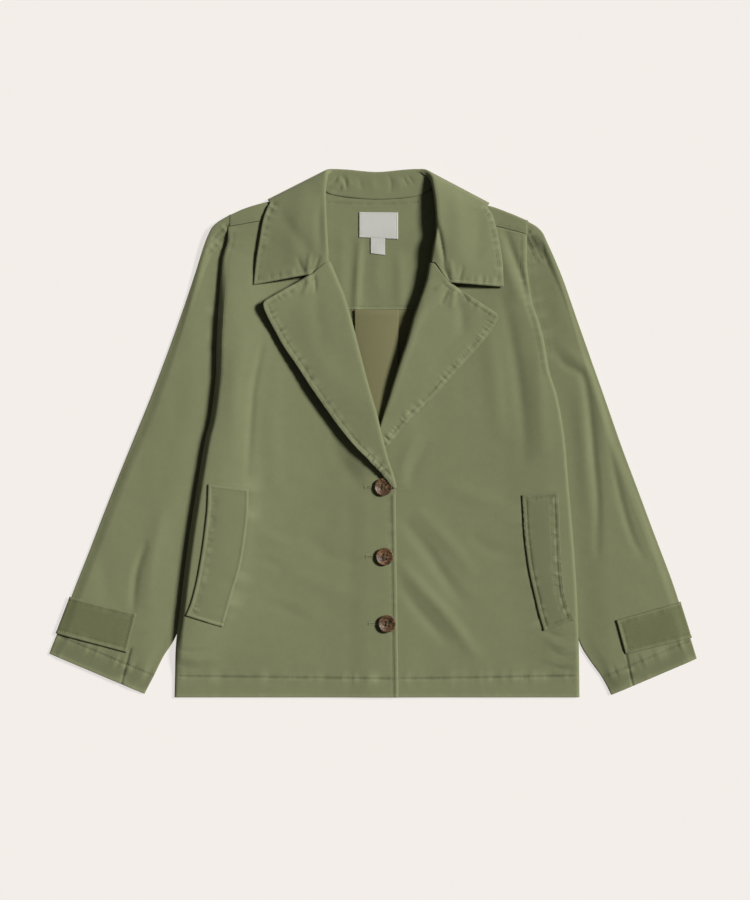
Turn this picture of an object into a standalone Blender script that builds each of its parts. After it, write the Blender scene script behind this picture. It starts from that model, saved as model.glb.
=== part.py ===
"""A short trench jacket in cotton twill, buttoned and laid flat on its back.

Left and right are the wearer's: the right front, which laps over the left one, lies at -X.
The tables are in millimetres, across from the centre line and up from the hem. The object is
placed in metres with its origin at the middle of its rest face, +Y towards the collar, +Z up.
"""

import math

import bpy
import numpy as np

MM = 0.001

# Driving sizes of the garment, in millimetres
JACKET_LENGTH = 662.0           # hem to the top of the collar
CLOTH_WALL = 1.1                # one layer of twill
DOUBLE_WALL = 1.9               # two layers sewn together: collar, welts and tabs
SEAM_GAP = 0.35                 # kept between pieces that touch
LAYER = CLOTH_WALL + SEAM_GAP   # from the middle of one layer to the middle of the next
FLOOR_LAYER = CLOTH_WALL / 2    # middle of a layer that lies on the floor
LOFT = 4.6                      # front above back, middle to middle

YOKE_SEAM = 485.0               # height of the back yoke's lower seam
PLEAT_CENTRE = 4.4              # box pleat of the lower back
PLEAT_HALF = 27.0
UNDERARM = 398.0                # below this height a sleeve may lie under the body
RIGHT_BREAK = 262.0             # height at which each lapel starts to fold out
LEFT_BREAK = 299.0
BUTTON_RADIUS = 11.0
BUTTON_THICKNESS = 3.4
BUTTON_RIM = 1.7
BUTTON_SHANK = 0.7              # clear height of the thread under a button
LABEL_WALL = 1.0

TWILL = (0.2, 0.225, 0.11)
TWILL_INSIDE = (0.23, 0.215, 0.11)
LABEL_WHITE = (0.72, 0.72, 0.68)
BUTTON_BROWN = (0.09, 0.035, 0.015)
CLOTH_ROUGHNESS = 0.85
BUTTON_ROUGHNESS = 0.35


def table(columns, rows):
    """A table with named columns, whose first column is the one that it is read along."""
    return dict(zip(columns.split(), np.array(rows, dtype=float).T))


def read(source, column, at):
    """Reads a column at any place between its rows, along a smooth curve that never overshoots."""
    key = next(iter(source))
    knots, values = source[key], source[column]
    at = np.clip(np.asarray(at, dtype=float), knots[0], knots[-1])
    span = np.diff(knots)
    rise = np.diff(values) / span
    slope = np.concatenate([rise[:1], np.zeros(len(rise) - 1), rise[-1:]])
    same_way = rise[:-1] * rise[1:] > 0
    total = np.where(same_way, rise[:-1] + rise[1:], 1.0)
    slope[1:-1] = np.where(same_way, 2 * rise[:-1] * rise[1:] / total, 0.0)
    cell = np.clip(np.searchsorted(knots, at, side="right") - 1, 0, len(span) - 1)
    t = (at - knots[cell]) / span[cell]
    h = span[cell]
    return ((1 + 2 * t) * (1 - t) ** 2 * values[cell] + t * (1 - t) ** 2 * h * slope[cell]
            + t * t * (3 - 2 * t) * values[cell + 1] + t * t * (t - 1) * h * slope[cell + 1])


def ease(x):
    """0 below 0, 1 above 1, and a smooth step between."""
    x = np.clip(x, 0.0, 1.0)
    return x * x * (3 - 2 * x)


def mix(a, b, t):
    return a + (b - a) * t


# Sides of the body: the armhole seam above, the side seam below. A shelf is the strip of the back
# that is lifted off the floor by the sleeve tucked under it.
BODY = table("height right_edge left_edge right_shelf left_shelf right_lift left_lift", [
    (0, -248.8, 258.8, 4, 4, 0.3, 0.3),
    (30, -248.0, 258.3, 5, 5, 1.2, 1.0),
    (60, -246.8, 257.6, 8, 8, 5.0, 3.7),
    (122, -240.0, 255.5, 20, 18, 5.0, 3.7),
    (172, -234.0, 252.5, 28, 23, 5.0, 3.7),
    (209, -228.8, 249.5, 29, 24, 5.0, 3.7),
    (272, -218.6, 244.2, 24, 20, 5.0, 3.7),
    (322, -210.0, 240.0, 16, 16, 5.0, 3.7),
    (347, -203.8, 236.3, 12, 14, 5.0, 3.7),
    (378, -199.2, 230.0, 10, 10, 5.0, 3.7),
    (409, -196.3, 220.5, 10, 10, 5.0, 3.7),
    (441, -195.6, 215.0, 10, 10, 5.0, 3.7),
    (466, -194.4, 208.8, 10, 10, 5.0, 3.7),
    (497, -192.5, 198.8, 10, 10, 5.0, 3.7),
    (547, -188.8, 192.8, 10, 10, 5.0, 3.7),
    (572, -182.5, 192.8, 10, 10, 5.0, 3.7),
    (600, -180.0, 194.0, 10, 10, 5.0, 3.7),
])
SHELF_RAMP = 64.0               # width over which the back comes down to the floor
EDGE_CURL = 8.0                 # width over which a front turns down to its side seam
CURL_TOP = (556.0, 580.0)       # the curl fades out towards the shoulder

# Top line of the back yoke: the shoulder fold at either side, the neck seam between
YOKE_TOP = table("across height", [
    (-180, 599.4), (-160, 610.4), (-136, 618.6), (-128, 620.4), (-100, 630.0), (-74, 640.5),
    (-66, 635.0), (-60, 631.4), (-55, 629.4), (-35, 625.3), (-16, 623.6), (4.4, 623.2),
    (27.5, 623.6), (46.3, 625.5), (56.3, 627.3), (63, 629.8), (70, 632.6),
    (80, 636.6), (91, 637.0), (108.8, 629.2), (142, 615.4), (150, 613.4), (171.3, 602.5), (194, 589.6),
])
NECK_POINTS = (-74.0, 91.0)     # where the neck seam passes the shoulder folds

# Seam between the yoke's forward strips and the fronts
SHOULDER_SEAM = table("across height", [
    (-180, 588.5), (-139, 595.6), (-74, 606.0), (92, 599.4), (154, 588.8), (194, 578.5),
])

# Roll line of each lapel, up from its break: how far across it lies, how high the fold stands
# above the front, and where the lapel's outer edge is and how high that stands above the front.
RIGHT_ROLL = table("height across fold edge_across edge_height edge_lift knee", [
    (262, 28.4, 6.2, 14.0, 268.0, 6.4, 0),
    (278, 24.4, 6.0, 2.0, 284.0, 6.4, 0),
    (295, 18.8, 6.0, -18.0, 309.0, 6.4, 0),
    (313, 13.8, 6.4, -38.0, 333.0, 6.4, 0),
    (337, 7.8, 7.2, -62.0, 366.0, 6.6, 0),
    (357, 3.0, 8.0, -80.0, 392.0, 7.0, 0),
    (384, -5.0, 8.8, -95.0, 415.0, 7.4, 0),
    (424, -15.6, 9.8, -112.0, 440.0, 8.0, 0),
    (463, -25.6, 10.8, -123.0, 460.0, 8.8, 0),
    (501, -36.4, 11.6, -131.0, 475.0, 10.5, 0),
    (522, -45.0, 12.0, -135.5, 485.5, 12.0, -1),
    (544, -54.4, 12.0, -137.5, 493.0, 13.5, -4),
])
LEFT_ROLL = table("height across fold edge_across edge_height edge_lift knee", [
    (299, 0.6, 2.6, 14.0, 307.5, 2.6, 0),
    (318, 3.5, 2.9, 24.0, 320.0, 2.6, 0),
    (347, 11.9, 3.6, 41.0, 341.0, 2.6, 0),
    (372, 20.0, 6.0, 62.0, 362.5, 2.6, 0),
    (397, 27.5, 8.6, 83.0, 384.0, 2.6, 0),
    (422, 35.6, 10.2, 97.0, 400.0, 2.6, 0),
    (447, 43.8, 11.2, 111.0, 415.5, 2.6, 0),
    (472, 50.6, 12.0, 126.0, 432.0, 2.8, 0),
    (497, 59.4, 12.4, 141.0, 450.0, 3.0, 0),
    (522, 67.5, 12.4, 152.0, 466.0, 3.4, -3),
    (542, 71.0, 12.0, 157.5, 477.0, 4.0, -9),
])

# Closing edge of each front, across, at the hem and just under the break
CLOSING_EDGE = {"right": {"hem": 31.8, "break": 28.1}, "left": {"hem": -1.2, "break": -1.2}}

# Neck edge of each front, from the gorge up to the shoulder seam
RIGHT_NECK = table("height across", [(544, -61.8), (560, -67.4), (585, -72.4), (606, -74.0)])
LEFT_NECK = table("height across", [(542, 79.0), (560, 87.5), (585, 92.0), (601, 92.0)])

# Sleeves, from the armhole to the cuff: the outer fold and the inner fold, which is tucked under
# the body between the underarm and the tenth row; then the thickness of the pressed tube at its
# inner part and at its full part.
RIGHT_SLEEVE = table("station out_across out_up in_across in_up inner full", [
    (0, -181.5, 599.0, -196.6, 376.5, 2.2, 3.6),
    (1, -204.5, 572.0, -199.6, 375.8, 2.2, 4.2),
    (2, -222.0, 530.0, -202.0, 372.0, 2.2, 4.9),
    (3, -237.5, 484.4, -203.6, 363.0, 2.2, 4.9),
    (4, -257.5, 428.1, -204.2, 344.0, 2.2, 4.9),
    (5, -278.8, 371.9, -203.5, 306.0, 2.2, 4.9),
    (6, -300.5, 319.0, -206.5, 250.0, 2.2, 4.9),
    (7, -320.5, 270.0, -213.0, 192.0, 2.2, 4.9),
    (8, -338.0, 226.0, -226.0, 132.0, 2.2, 4.9),
    (9, -355.5, 180.6, -248.8, 71.9, 2.2, 4.9),
    (10, -370.8, 141.9, -262.5, 50.6, 2.3, 4.9),
    (11, -388.8, 94.4, -275.0, 25.6, 2.5, 4.8),
    (12, -404.4, 54.4, -286.3, 4.4, 2.8, 4.6),
])
LEFT_SLEEVE = table("station out_across out_up in_across in_up inner full", [
    (0, 196.5, 588.0, 228.6, 378.5, 2.2, 3.6),
    (1, 217.5, 567.0, 231.0, 378.0, 2.5, 4.2),
    (2, 236.0, 525.5, 233.6, 374.2, 2.6, 4.9),
    (3, 256.0, 468.6, 235.6, 364.5, 2.6, 4.9),
    (4, 273.0, 420.0, 236.2, 343.0, 2.4, 4.9),
    (5, 290.0, 372.0, 235.5, 308.0, 2.2, 4.9),
    (6, 311.0, 312.0, 235.5, 246.0, 2.2, 4.9),
    (7, 331.0, 259.0, 236.5, 188.0, 2.2, 4.9),
    (8, 346.0, 219.0, 243.0, 130.0, 2.2, 4.9),
    (9, 360.7, 180.6, 260.0, 64.4, 2.2, 4.9),
    (10, 373.3, 146.9, 270.0, 48.1, 2.3, 4.9),
    (11, 389.5, 96.9, 286.3, 25.6, 2.5, 4.8),
    (12, 404.4, 48.1, 298.8, 3.1, 2.8, 4.6),
])

# Collar, from the front end of the right half (station 0) round the back (9) to the left front end
# (18). neck: the seam to the body. roll: the line where it folds over. edge: its free edge.
# out: the heading of the roll's outside, in degrees from +X. side: the way from the stand to the
# fall, 90 above it, 0 beside it, -90 under it. fold: half the space between stand and fall.
# knee: how far the fall is drawn down at the notch. over: 1 where edge_z is taken above the front.
COLLAR = table("station neck_x neck_y neck_z roll_x roll_y roll_z out side fold "
               "edge_x edge_y edge_z knee over", [
    (0, -61.8, 547.4, 6.0, -54.9, 546.6, 12.0, 12, 90, 5.9, -149.4, 515.0, 2.9, -11, 1),
    (1, -66.2, 561.0, 6.6, -56.5, 560.0, 12.8, 6, 90, 5.8, -146.2, 545.0, 2.9, -3, 1),
    (2, -70.6, 585.0, 7.6, -60.0, 584.4, 13.8, 5, 90, 5.6, -141.6, 573.0, 2.9, 0, 1),
    (3, -71.8, 606.0, 7.8, -62.8, 606.5, 13.8, 5, 90, 5.2, -137.6, 595.0, 2.9, 0, 1),
    (4, -71.4, 622.0, 7.6, -64.0, 627.0, 12.8, 10, 86, 4.6, -132.6, 609.5, 3.0, 0, 1),
    (5, -71.4, 639.0, 7.2, -59.0, 650.0, 10.2, 22, 60, 3.6, -129.2, 617.4, 11.4, 0, 0),
    (5.5, -71.0, 640.9, 6.75, -57.0, 655.6, 8.3, 27, 34, 3.1, -130.3, 620.3, 9.3, 0, 0),
    (6, -70.2, 642.3, 5.55, -54.5, 658.6, 5.9, 34, 0, 2.6, -131.4, 621.8, 6.0, 0, 0),
    (6.5, -68.3, 643.0, 4.35, -50.8, 660.6, 3.4, 47, -42, 1.95, -130.4, 620.3, 2.9, 0, 0),
    (7, -64.9, 642.8, 3.9, -46.0, 661.0, 2.6, 62, -80, 1.5, -127.6, 617.0, 1.0, 0, 0),
    (7.5, -57.5, 632.5, 3.6, -40.1, 660.8, 2.5, 75, -87, 1.5, -115.4, 610.9, 1.0, 0, 0),
    (8, -46.0, 629.0, 3.5, -32.0, 660.4, 2.45, 84, -90, 1.45, -92.0, 604.0, 1.0, 0, 0),
    (9, 4.4, 624.1, 3.5, 4.4, 657.4, 2.45, 90, -90, 1.45, 4.4, 596.0, 1.0, 0, 0),
    (10, 48.0, 627.0, 3.5, 38.0, 660.2, 2.45, 96, -90, 1.45, 100.0, 602.0, 1.0, 0, 0),
    (10.5, 66.5, 633.0, 3.6, 46.0, 660.8, 2.5, 105, -87, 1.5, 125.9, 607.3, 1.0, 0, 0),
    (11, 78.8, 641.5, 3.9, 52.0, 661.0, 2.6, 118, -80, 1.5, 140.0, 612.4, 1.0, 0, 0),
    (11.5, 82.5, 641.8, 4.35, 57.4, 660.6, 3.4, 133, -42, 1.95, 143.9, 615.7, 2.9, 0, 0),
    (12, 84.5, 641.2, 5.55, 61.8, 658.8, 5.9, 146, 0, 2.6, 145.4, 617.4, 6.0, 0, 0),
    (12.5, 85.4, 639.9, 6.75, 67.1, 654.8, 8.3, 151, 34, 3.1, 144.4, 615.9, 9.3, 0, 0),
    (13, 86.0, 638.0, 7.2, 71.5, 648.0, 10.0, 156, 60, 3.6, 143.4, 612.8, 11.4, 0, 0),
    (14, 86.6, 621.0, 7.4, 76.0, 625.0, 12.6, 172, 86, 4.6, 149.0, 603.0, 3.0, 0, 1),
    (15, 88.0, 603.0, 7.6, 77.8, 603.5, 13.6, 178, 90, 5.2, 153.0, 590.0, 2.9, 0, 1),
    (16, 88.0, 584.0, 7.4, 78.4, 584.0, 13.6, 182, 90, 5.6, 158.0, 567.0, 2.9, -4, 1),
    (17, 84.0, 562.0, 6.6, 74.6, 562.0, 13.0, 188, 90, 5.8, 162.0, 540.0, 2.9, -11, 1),
    (18, 77.2, 545.0, 6.0, 71.6, 544.8, 12.0, 194, 90, 5.9, 163.0, 512.5, 2.9, -21, 1),
])
KNEE = 0.22                     # where along the fall, or the lapel's top edge, the notch lies

# Pocket welts, up from their lower ends: the side towards the centre and the side away from it
RIGHT_WELT = table("row inner_x inner_y outer_x outer_y", [
    (0, -187.1, 88.5, -232.9, 103.5), (1, -181.5, 108.0, -227.4, 116.0),
    (2, -174.6, 132.0, -220.4, 141.0), (3, -164.5, 167.0, -213.4, 178.5),
    (4, -158.8, 201.0, -208.8, 211.9), (5, -155.4, 235.0, -205.9, 241.0),
    (6, -155.0, 261.0, -205.0, 267.0),
])
LEFT_WELT = table("row inner_x inner_y outer_x outer_y", [
    (0, 213.4, 83.5, 250.4, 97.3), (1, 207.0, 105.0, 243.5, 113.0),
    (2, 201.6, 128.5, 238.2, 133.0), (3, 196.5, 150.0, 235.8, 153.0),
    (4, 192.6, 172.0, 234.4, 174.5), (5, 188.6, 209.0, 233.0, 212.0),
    (6, 186.1, 253.0, 231.2, 257.0),
])

# Cuff tabs, upper edge and lower edge: the root on the sleeve's outer fold, and the free end
RIGHT_TAB = table("edge root_x root_y free_x free_y", [
    (0, -377.1, 125.3, -295.4, 105.3), (1, -394.7, 79.4, -307.9, 56.5),
])
LEFT_TAB = table("edge root_x root_y free_x free_y", [
    (0, 382.4, 119.0, 303.8, 96.9), (1, 396.5, 74.0, 315.4, 54.0),
])

BUTTONS = table("number across height", [(0, 17.5, 92.5), (1, 14.4, 176.3), (2, 12.6, 263.2)])
NECK_LABEL = (-17.5, 31.3, 575.4, 607.0)    # left, right, bottom, top
SIZE_TAB = (-3.0, 15.0, 555.5, 574.8)


def inside_edge(across, height, side):
    """Distance in from one side edge of the body."""
    if side == "right":
        return across - read(BODY, "right_edge", height)
    return read(BODY, "left_edge", height) - across


def back_height(across, height):
    """Middle of the back layer: on the floor, over the tucked sleeves and over the collar's fall."""
    lift = 0.0
    for side in ("right", "left"):
        past_shelf = inside_edge(across, height, side) - read(BODY, side + "_shelf", height)
        lift = lift + read(BODY, side + "_lift", height) * ease(1 - past_shelf / SHELF_RAMP)
    over_fall = 2.2 * ease((height - 552) / 38) * ease((172 - np.abs(across)) / 38)
    return FLOOR_LAYER + lift + over_fall


def front_height(across, height, side):
    """Middle of a front: a loft above the back, turned down to the side seam at its edge."""
    inside = inside_edge(across, height, side)
    fade = 1 - ease((height - CURL_TOP[0]) / (CURL_TOP[1] - CURL_TOP[0]))
    reach = np.clip(1 - (inside - CLOTH_WALL / 2) / EDGE_CURL, 0.0, 1.0)
    curl = (1 - np.sqrt(np.maximum(1 - reach ** 2, 0.0))) * fade
    lowest = CLOTH_WALL / 2 + 2 * SEAM_GAP
    base = back_height(across, height)
    centre = 0.75 * ease(1 - (np.abs(across - PLEAT_CENTRE) - 34) / 40)
    hem_drop = 0.9 * ease(1 - height / 45)
    up = LOFT + centre * (1 - ease((height - 470) / 60)) - hem_drop
    if side == "right":
        up = up + 1.55 * ease((across + 34) / 28) * ease((520 - height) / 90)
        over_left_lapel = ease((height - 272) / 28) * ease((440 - height) / 92)
        up = up + 4.7 * over_left_lapel * ease((across + 52) / 48)
    return base + mix(up, lowest, curl)


def lay(points, height_at):
    """Puts plan points (across, height) at the heights that height_at gives."""
    across, height = points[..., 0], points[..., 1]
    return np.stack([across, height, height_at(across, height)], axis=-1)


def normals(points):
    """Unit normals of a grid of points, rows by columns."""
    along = np.gradient(points, axis=0)
    over = np.gradient(points, axis=1)
    normal = np.cross(over, along)
    return normal / np.maximum(np.linalg.norm(normal, axis=-1, keepdims=True), 1e-9)


def moved_out(points, distance):
    return points + normals(points) * distance


def half_turn(centre, outward, upward, reach, half, steps):
    """Points of a fold, from under its centre round its outside to above its centre."""
    angles = np.linspace(-math.pi / 2, math.pi / 2, steps)
    wide = np.cos(angles)[:, None] * np.asarray(outward) * reach
    tall = np.sin(angles)[:, None] * np.asarray(upward) * half
    return np.asarray(centre) + wide + tall


# Pieces as grids of points, rows by columns

def roll_points(side, height):
    """Roll line of a lapel: its outside, its heading away from the lapel, and its row's values."""
    rolls = RIGHT_ROLL if side == "right" else LEFT_ROLL
    facing = 1.0 if side == "right" else -1.0
    across = float(read(rolls, "across", height))
    step = 2.0
    drift = float(read(rolls, "across", height + step) - read(rolls, "across", height - step))
    heading = np.array([2 * step, -drift]) * facing
    heading = heading / np.linalg.norm(heading)
    values = {name: float(read(rolls, name, height)) for name in rolls if name != "height"}
    return np.array([across, height]), heading, values


def front_rows(side):
    """Heights of the rows of a front below the break, along the lapel, and above the gorge."""
    start = RIGHT_BREAK if side == "right" else LEFT_BREAK
    top = 544.0 if side == "right" else 542.0
    below = [0.0, 22.0, 45.0, 80.0, 130.0, 180.0, 220.0, 245.0]
    if side == "left":
        below = below + [274.0]
    lapel = np.concatenate([[start, start + 11], np.linspace(start + 27, top, 11)])
    return below, list(lapel)


FRONT_COLUMNS = np.array([0.0, 0.006, 0.016, 0.034, 0.08, 0.14, 0.21, 0.29, 0.37, 0.45,
                          0.53, 0.61, 0.69, 0.77, 0.85, 0.93, 1.0])
FOLD_STEPS = 6
LAPEL_COLUMNS = 6
ROWS_ABOVE_GORGE = 4


def knee_pull(depth, t):
    """How far a row is drawn down at the notch, at a share t of the way to its end."""
    return depth * np.minimum(t / KNEE, (1 - t) / (1 - KNEE))


def lapel_row(side, height):
    """One row of a lapel: the fold at the roll line, then out to the lapel's edge."""
    outside, heading, row = roll_points(side, height)
    reach = min(row["fold"] / 2, 5.0)
    base = outside - heading * (reach + CLOTH_WALL / 2)
    level = float(front_height(base[0], base[1], side))
    centre = np.array([base[0], base[1], level + row["fold"] / 2])
    fold = half_turn(centre, (heading[0], heading[1], 0), (0, 0, 1), reach, row["fold"] / 2, FOLD_STEPS)
    edge = np.array([row["edge_across"], row["edge_height"]])
    t = np.concatenate([[KNEE / 2], np.linspace(KNEE, 1, LAPEL_COLUMNS - 1)])[:, None]
    plan = mix(base, edge, t)
    plan[:, 1] += knee_pull(row["knee"], t[:, 0])
    up = front_height(plan[:, 0], plan[:, 1], side) + mix(row["fold"], row["edge_lift"], t[:, 0])
    start = mix(level + row["fold"], up, ease(t[:, 0] * 2.2))
    return np.concatenate([fold, np.column_stack([plan, start])])


def front_grid(side):
    """A front with its lapel. Cells outside the cut are left out of the mask."""
    below, lapel = front_rows(side)
    edge_name = side + "_edge"
    sign = 1.0 if side == "right" else -1.0
    inset = CLOTH_WALL / 2 * sign
    neck = RIGHT_NECK if side == "right" else LEFT_NECK
    closing = CLOSING_EDGE[side]
    rows = []
    for height in below:
        across = mix(closing["hem"], closing["break"], height / below[-1])
        start = np.array([read(BODY, edge_name, height) + inset, height])
        rows.append((start, np.array([across, height]), None))
    for height in lapel:
        folded = lapel_row(side, height)
        start = np.array([read(BODY, edge_name, folded[0, 1]) + inset, folded[0, 1]])
        rows.append((start, folded[0, :2], folded))
    first = rows[-1][0][1]
    shoulder_end = np.array([read(BODY, edge_name, 590.0) + inset, 0.0])
    shoulder_end[1] = read(SHOULDER_SEAM, "height", shoulder_end[0]) - SEAM_GAP
    neck_top = np.array([neck["across"][-1], neck["height"][-1] - SEAM_GAP])
    for t in np.linspace(0, 1, ROWS_ABOVE_GORGE + 1)[1:]:
        side_height = mix(first, shoulder_end[1], t)
        neck_height = mix(lapel[-1], neck_top[1], t)
        start = np.array([read(BODY, edge_name, side_height) + inset, side_height])
        rows.append((start, np.array([read(neck, "across", neck_height), neck_height]), None))
    width = len(FRONT_COLUMNS) + FOLD_STEPS + LAPEL_COLUMNS - 1
    grid = np.zeros((len(rows), width, 3))
    mask = np.ones((len(rows) - 1, width - 1), dtype=bool)
    last = len(FRONT_COLUMNS) - 1
    for index, (start, end, folded) in enumerate(rows):
        plan = mix(start, end, FRONT_COLUMNS[:, None])
        if index == len(rows) - 1:
            plan[:, 1] = read(SHOULDER_SEAM, "height", plan[:, 0]) - SEAM_GAP
        grid[index, :last + 1] = lay(plan, lambda x, y: front_height(x, y, side))
        if folded is not None:
            grid[index, last:] = folded
    mask[:len(below), last:] = False
    mask[len(below) + len(lapel) - 1:, last:] = False
    return grid, mask


def facing_grid(side):
    """The facing on a lapel: the lapel's own points, moved out past the roll line."""
    rows = front_rows(side)[1]
    grid = np.array([lapel_row(side, height) for height in rows])
    outward = -1.0 if side == "right" else 1.0
    return moved_out(grid, LAYER * outward)[:, 2:]


def yoke_grid():
    """Back yoke: up the back, over the shoulder folds and down to the forward seam."""
    right = np.linspace(0.0, (NECK_POINTS[0] + 180) / 374, 8)
    left = np.linspace((NECK_POINTS[1] + 180) / 374, 1.0, 8)
    neck = [0.322, 0.346, 0.39, 0.44, 0.49, 0.54, 0.58, 0.62, 0.652, 0.69]
    fractions = np.concatenate([right, neck, left])
    climb = np.array([0.0, 0.22, 0.42, 0.56, 0.68, 0.79, 0.9, 1.0])
    arc_steps, down_steps = 5, 2
    top_row = len(climb) - 1
    total = top_row + arc_steps + down_steps
    grid = np.zeros((total, len(fractions), 3))
    mask = np.ones((total - 1, len(fractions) - 1), dtype=bool)
    mask[top_row:, len(right) - 1:len(right) + len(neck)] = False
    for column, fraction in enumerate(fractions):
        top_x = -180 + 374 * fraction
        top = float(read(YOKE_TOP, "height", top_x))
        folded = column < len(right) or column >= len(right) + len(neck)
        side = "right" if column < len(right) else "left"
        stop = top - (LOFT + CLOTH_WALL) / 2 if folded else top
        height = mix(YOKE_SEAM + SEAM_GAP / 2, stop, climb)
        from_edge = read(BODY, "right_edge", height)
        across = mix(from_edge + CLOTH_WALL / 2, read(BODY, "left_edge", height) - CLOTH_WALL / 2, fraction)
        grid[:top_row + 1, column] = lay(np.column_stack([across, height]), back_height)
        if not folded:
            continue
        last = grid[top_row, column]
        upper = float(front_height(last[0], last[1], side))
        half = (upper - last[2]) / 2
        centre = (last[0], last[1], last[2] + half)
        arc = half_turn(centre, (0, 1, 0), (0, 0, 1), half, half, arc_steps)
        grid[top_row:top_row + arc_steps, column] = arc
        seam = float(read(SHOULDER_SEAM, "height", last[0]))
        down = mix(last[1], seam, np.linspace(0, 1, down_steps + 1)[1:])
        plan = np.column_stack([np.full(down_steps, last[0]), down])
        grid[-down_steps:, column] = lay(plan, lambda x, y: front_height(x, y, side))
    return grid, mask


def pleat_path():
    """The box pleat across the back, as (across, layers up) from its left to its right."""
    half = LAYER / 2
    inner, outer = 1.4, PLEAT_HALF - 0.8
    path = []

    def fold(across, layer, way):
        for angle in np.linspace(-90, 90, 4):
            turn = math.radians(angle)
            path.append((across + way * half * math.cos(turn), layer * LAYER + half * (1 + math.sin(turn))))

    fold(-inner, 0, 1)
    fold(-outer, 1, -1)
    path.append((0.0, 2 * LAYER))
    ends = [(-across, up) for across, up in reversed(path[:-1])]
    return path + ends


def back_grid():
    """Lower back, from the hem to the yoke seam, with its box pleat."""
    heights = np.array([0.0, 22, 45, 75, 110, 145, 180, 215, 250, 285, 320, 350, 380, 415, 450,
                        YOKE_SEAM - SEAM_GAP / 2])
    pleat = np.array(pleat_path())
    shares = np.array([0.0, 0.1, 0.2, 0.3, 0.4, 0.5, 0.64, 0.82])
    rows = []
    for height in heights:
        right = float(read(BODY, "right_edge", height)) + CLOTH_WALL / 2
        left = float(read(BODY, "left_edge", height)) - CLOTH_WALL / 2
        start = PLEAT_CENTRE + pleat[0, 0]
        end = PLEAT_CENTRE + pleat[-1, 0]
        across = np.concatenate([mix(right, start, shares), PLEAT_CENTRE + pleat[:, 0],
                                 mix(end, left, 1 - shares[::-1])])
        up = np.concatenate([np.zeros(len(shares)), pleat[:, 1], np.zeros(len(shares))])
        row = lay(np.column_stack([across, np.full(len(across), height)]), back_height)
        row[:, 2] += up
        rows.append(row)
    return np.array(rows)


def sleeve_layer(side, station, u, top):
    """Points of a sleeve's top or bottom layer, at shares u of the way from inner to outer fold."""
    sleeve = RIGHT_SLEEVE if side == "right" else LEFT_SLEEVE
    sign = 1.0 if side == "right" else -1.0
    row = {name: float(read(sleeve, name, station)) for name in sleeve if name != "station"}
    outer = np.array([row["out_across"], row["out_up"]])
    inner = np.array([row["in_across"], row["in_up"]])
    width = np.linalg.norm(outer - inner)
    plan = mix(inner, outer, u[:, None])
    seam = read(BODY, side + "_edge", plan[:, 1]) - sign * (SEAM_GAP + 0.15)
    to_armhole = ease(1 - station / 0.8) * ease((plan[:, 1] - UNDERARM + 14) / 22)
    plan[:, 0] = mix(plan[:, 0], seam, to_armhole)
    limit = seam * sign + 2.0 * np.maximum(UNDERARM - plan[:, 1], 0.0)
    plan[:, 0] = np.minimum(plan[:, 0] * sign, limit) * sign
    near_shoulder = ease((u - 0.74) / 0.22)
    up = FLOOR_LAYER + read(BODY, side + "_lift", 400.0) * ease(1 - station / 3.2) * near_shoulder
    if top:
        clear = (read(BODY, side + "_edge", plan[:, 1]) - plan[:, 0]) * sign
        full = ease(clear / 42) * ease(u * width / 18) * ease((1 - u) * width / 14)
        up = up + mix(mix(row["inner"], row["full"], full), LOFT, ease(1 - station / 3.0) * near_shoulder)
    return np.column_stack([plan, up])


TOP_SHARES = np.array([0.012, 0.06, 0.16, 0.28, 0.4, 0.52, 0.66, 0.8, 0.9, 0.96, 0.985])
BOTTOM_SHARES = np.array([0.985, 0.9, 0.7, 0.45, 0.2, 0.012])


def sleeve_rings(side, stations):
    """The pressed tube of a sleeve, as rings that run round it."""
    rings = []
    for station in stations:
        top = sleeve_layer(side, station, TOP_SHARES, True)
        bottom = sleeve_layer(side, station, BOTTOM_SHARES, False)
        rings.append(np.concatenate([top, end_fold(top[-1], bottom[0], top[-1] - top[-3]),
                                     bottom, end_fold(bottom[-1], top[0], top[0] - top[2])]))
    return np.array(rings)


def end_fold(start, end, heading):
    """Three points round the folded side of a sleeve, from one layer to the other."""
    heading = np.array([heading[0], heading[1], 0.0])
    heading = heading / np.linalg.norm(heading)
    middle, half = (start + end) / 2, (start - end) / 2
    reach = max(abs(half[2]), 1.1)
    points = []
    for angle in (math.radians(50), 0.0, math.radians(-50)):
        points.append(middle + heading * reach * math.cos(angle) + half * math.sin(angle))
    return np.array(points)


def collar_grid():
    """Collar: rows run round the neck, columns from the neck seam over the roll to the free edge."""
    stations = np.concatenate([np.linspace(0, 3, 5), [3.5], np.linspace(4, 8, 9), [8.5, 9.0, 9.5],
                               np.linspace(10, 14, 9), [14.5], np.linspace(15, 18, 5)])
    rows = []
    for station in stations:
        row = {name: float(read(COLLAR, name, station)) for name in COLLAR if name != "station"}
        out = math.radians(row["out"])
        side = math.radians(row["side"])
        outward = np.array([math.cos(out), math.sin(out), 0.0])
        beside = 1.0 if station < 9 else -1.0
        across = np.array([-math.sin(out), math.cos(out), 0.0]) * beside
        toward = across * math.cos(side) + np.array([0, 0, math.sin(side)])
        reach = min(row["fold"], 4.5)
        roll = np.array([row["roll_x"], row["roll_y"], row["roll_z"]])
        centre = roll - outward * (reach + DOUBLE_WALL / 2)
        fold = half_turn(centre, outward, toward, reach, row["fold"], 5)
        neck = np.array([row["neck_x"], row["neck_y"], row["neck_z"]])
        half = "right" if station < 9 else "left"
        under = float(front_height(row["edge_x"], row["edge_y"], half)) * row["over"]
        edge = np.array([row["edge_x"], row["edge_y"], row["edge_z"] + under])
        stand = [neck, (neck + fold[0]) / 2]
        t = np.array([0.11, KNEE, 0.36, 0.52, 0.68, 0.84, 1.0])
        fall = mix(fold[-1], edge, t[:, None])
        fall[:, 1] += knee_pull(row["knee"], t)
        rows.append(np.concatenate([stand, fold, fall]))
    return np.array(rows)


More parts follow.
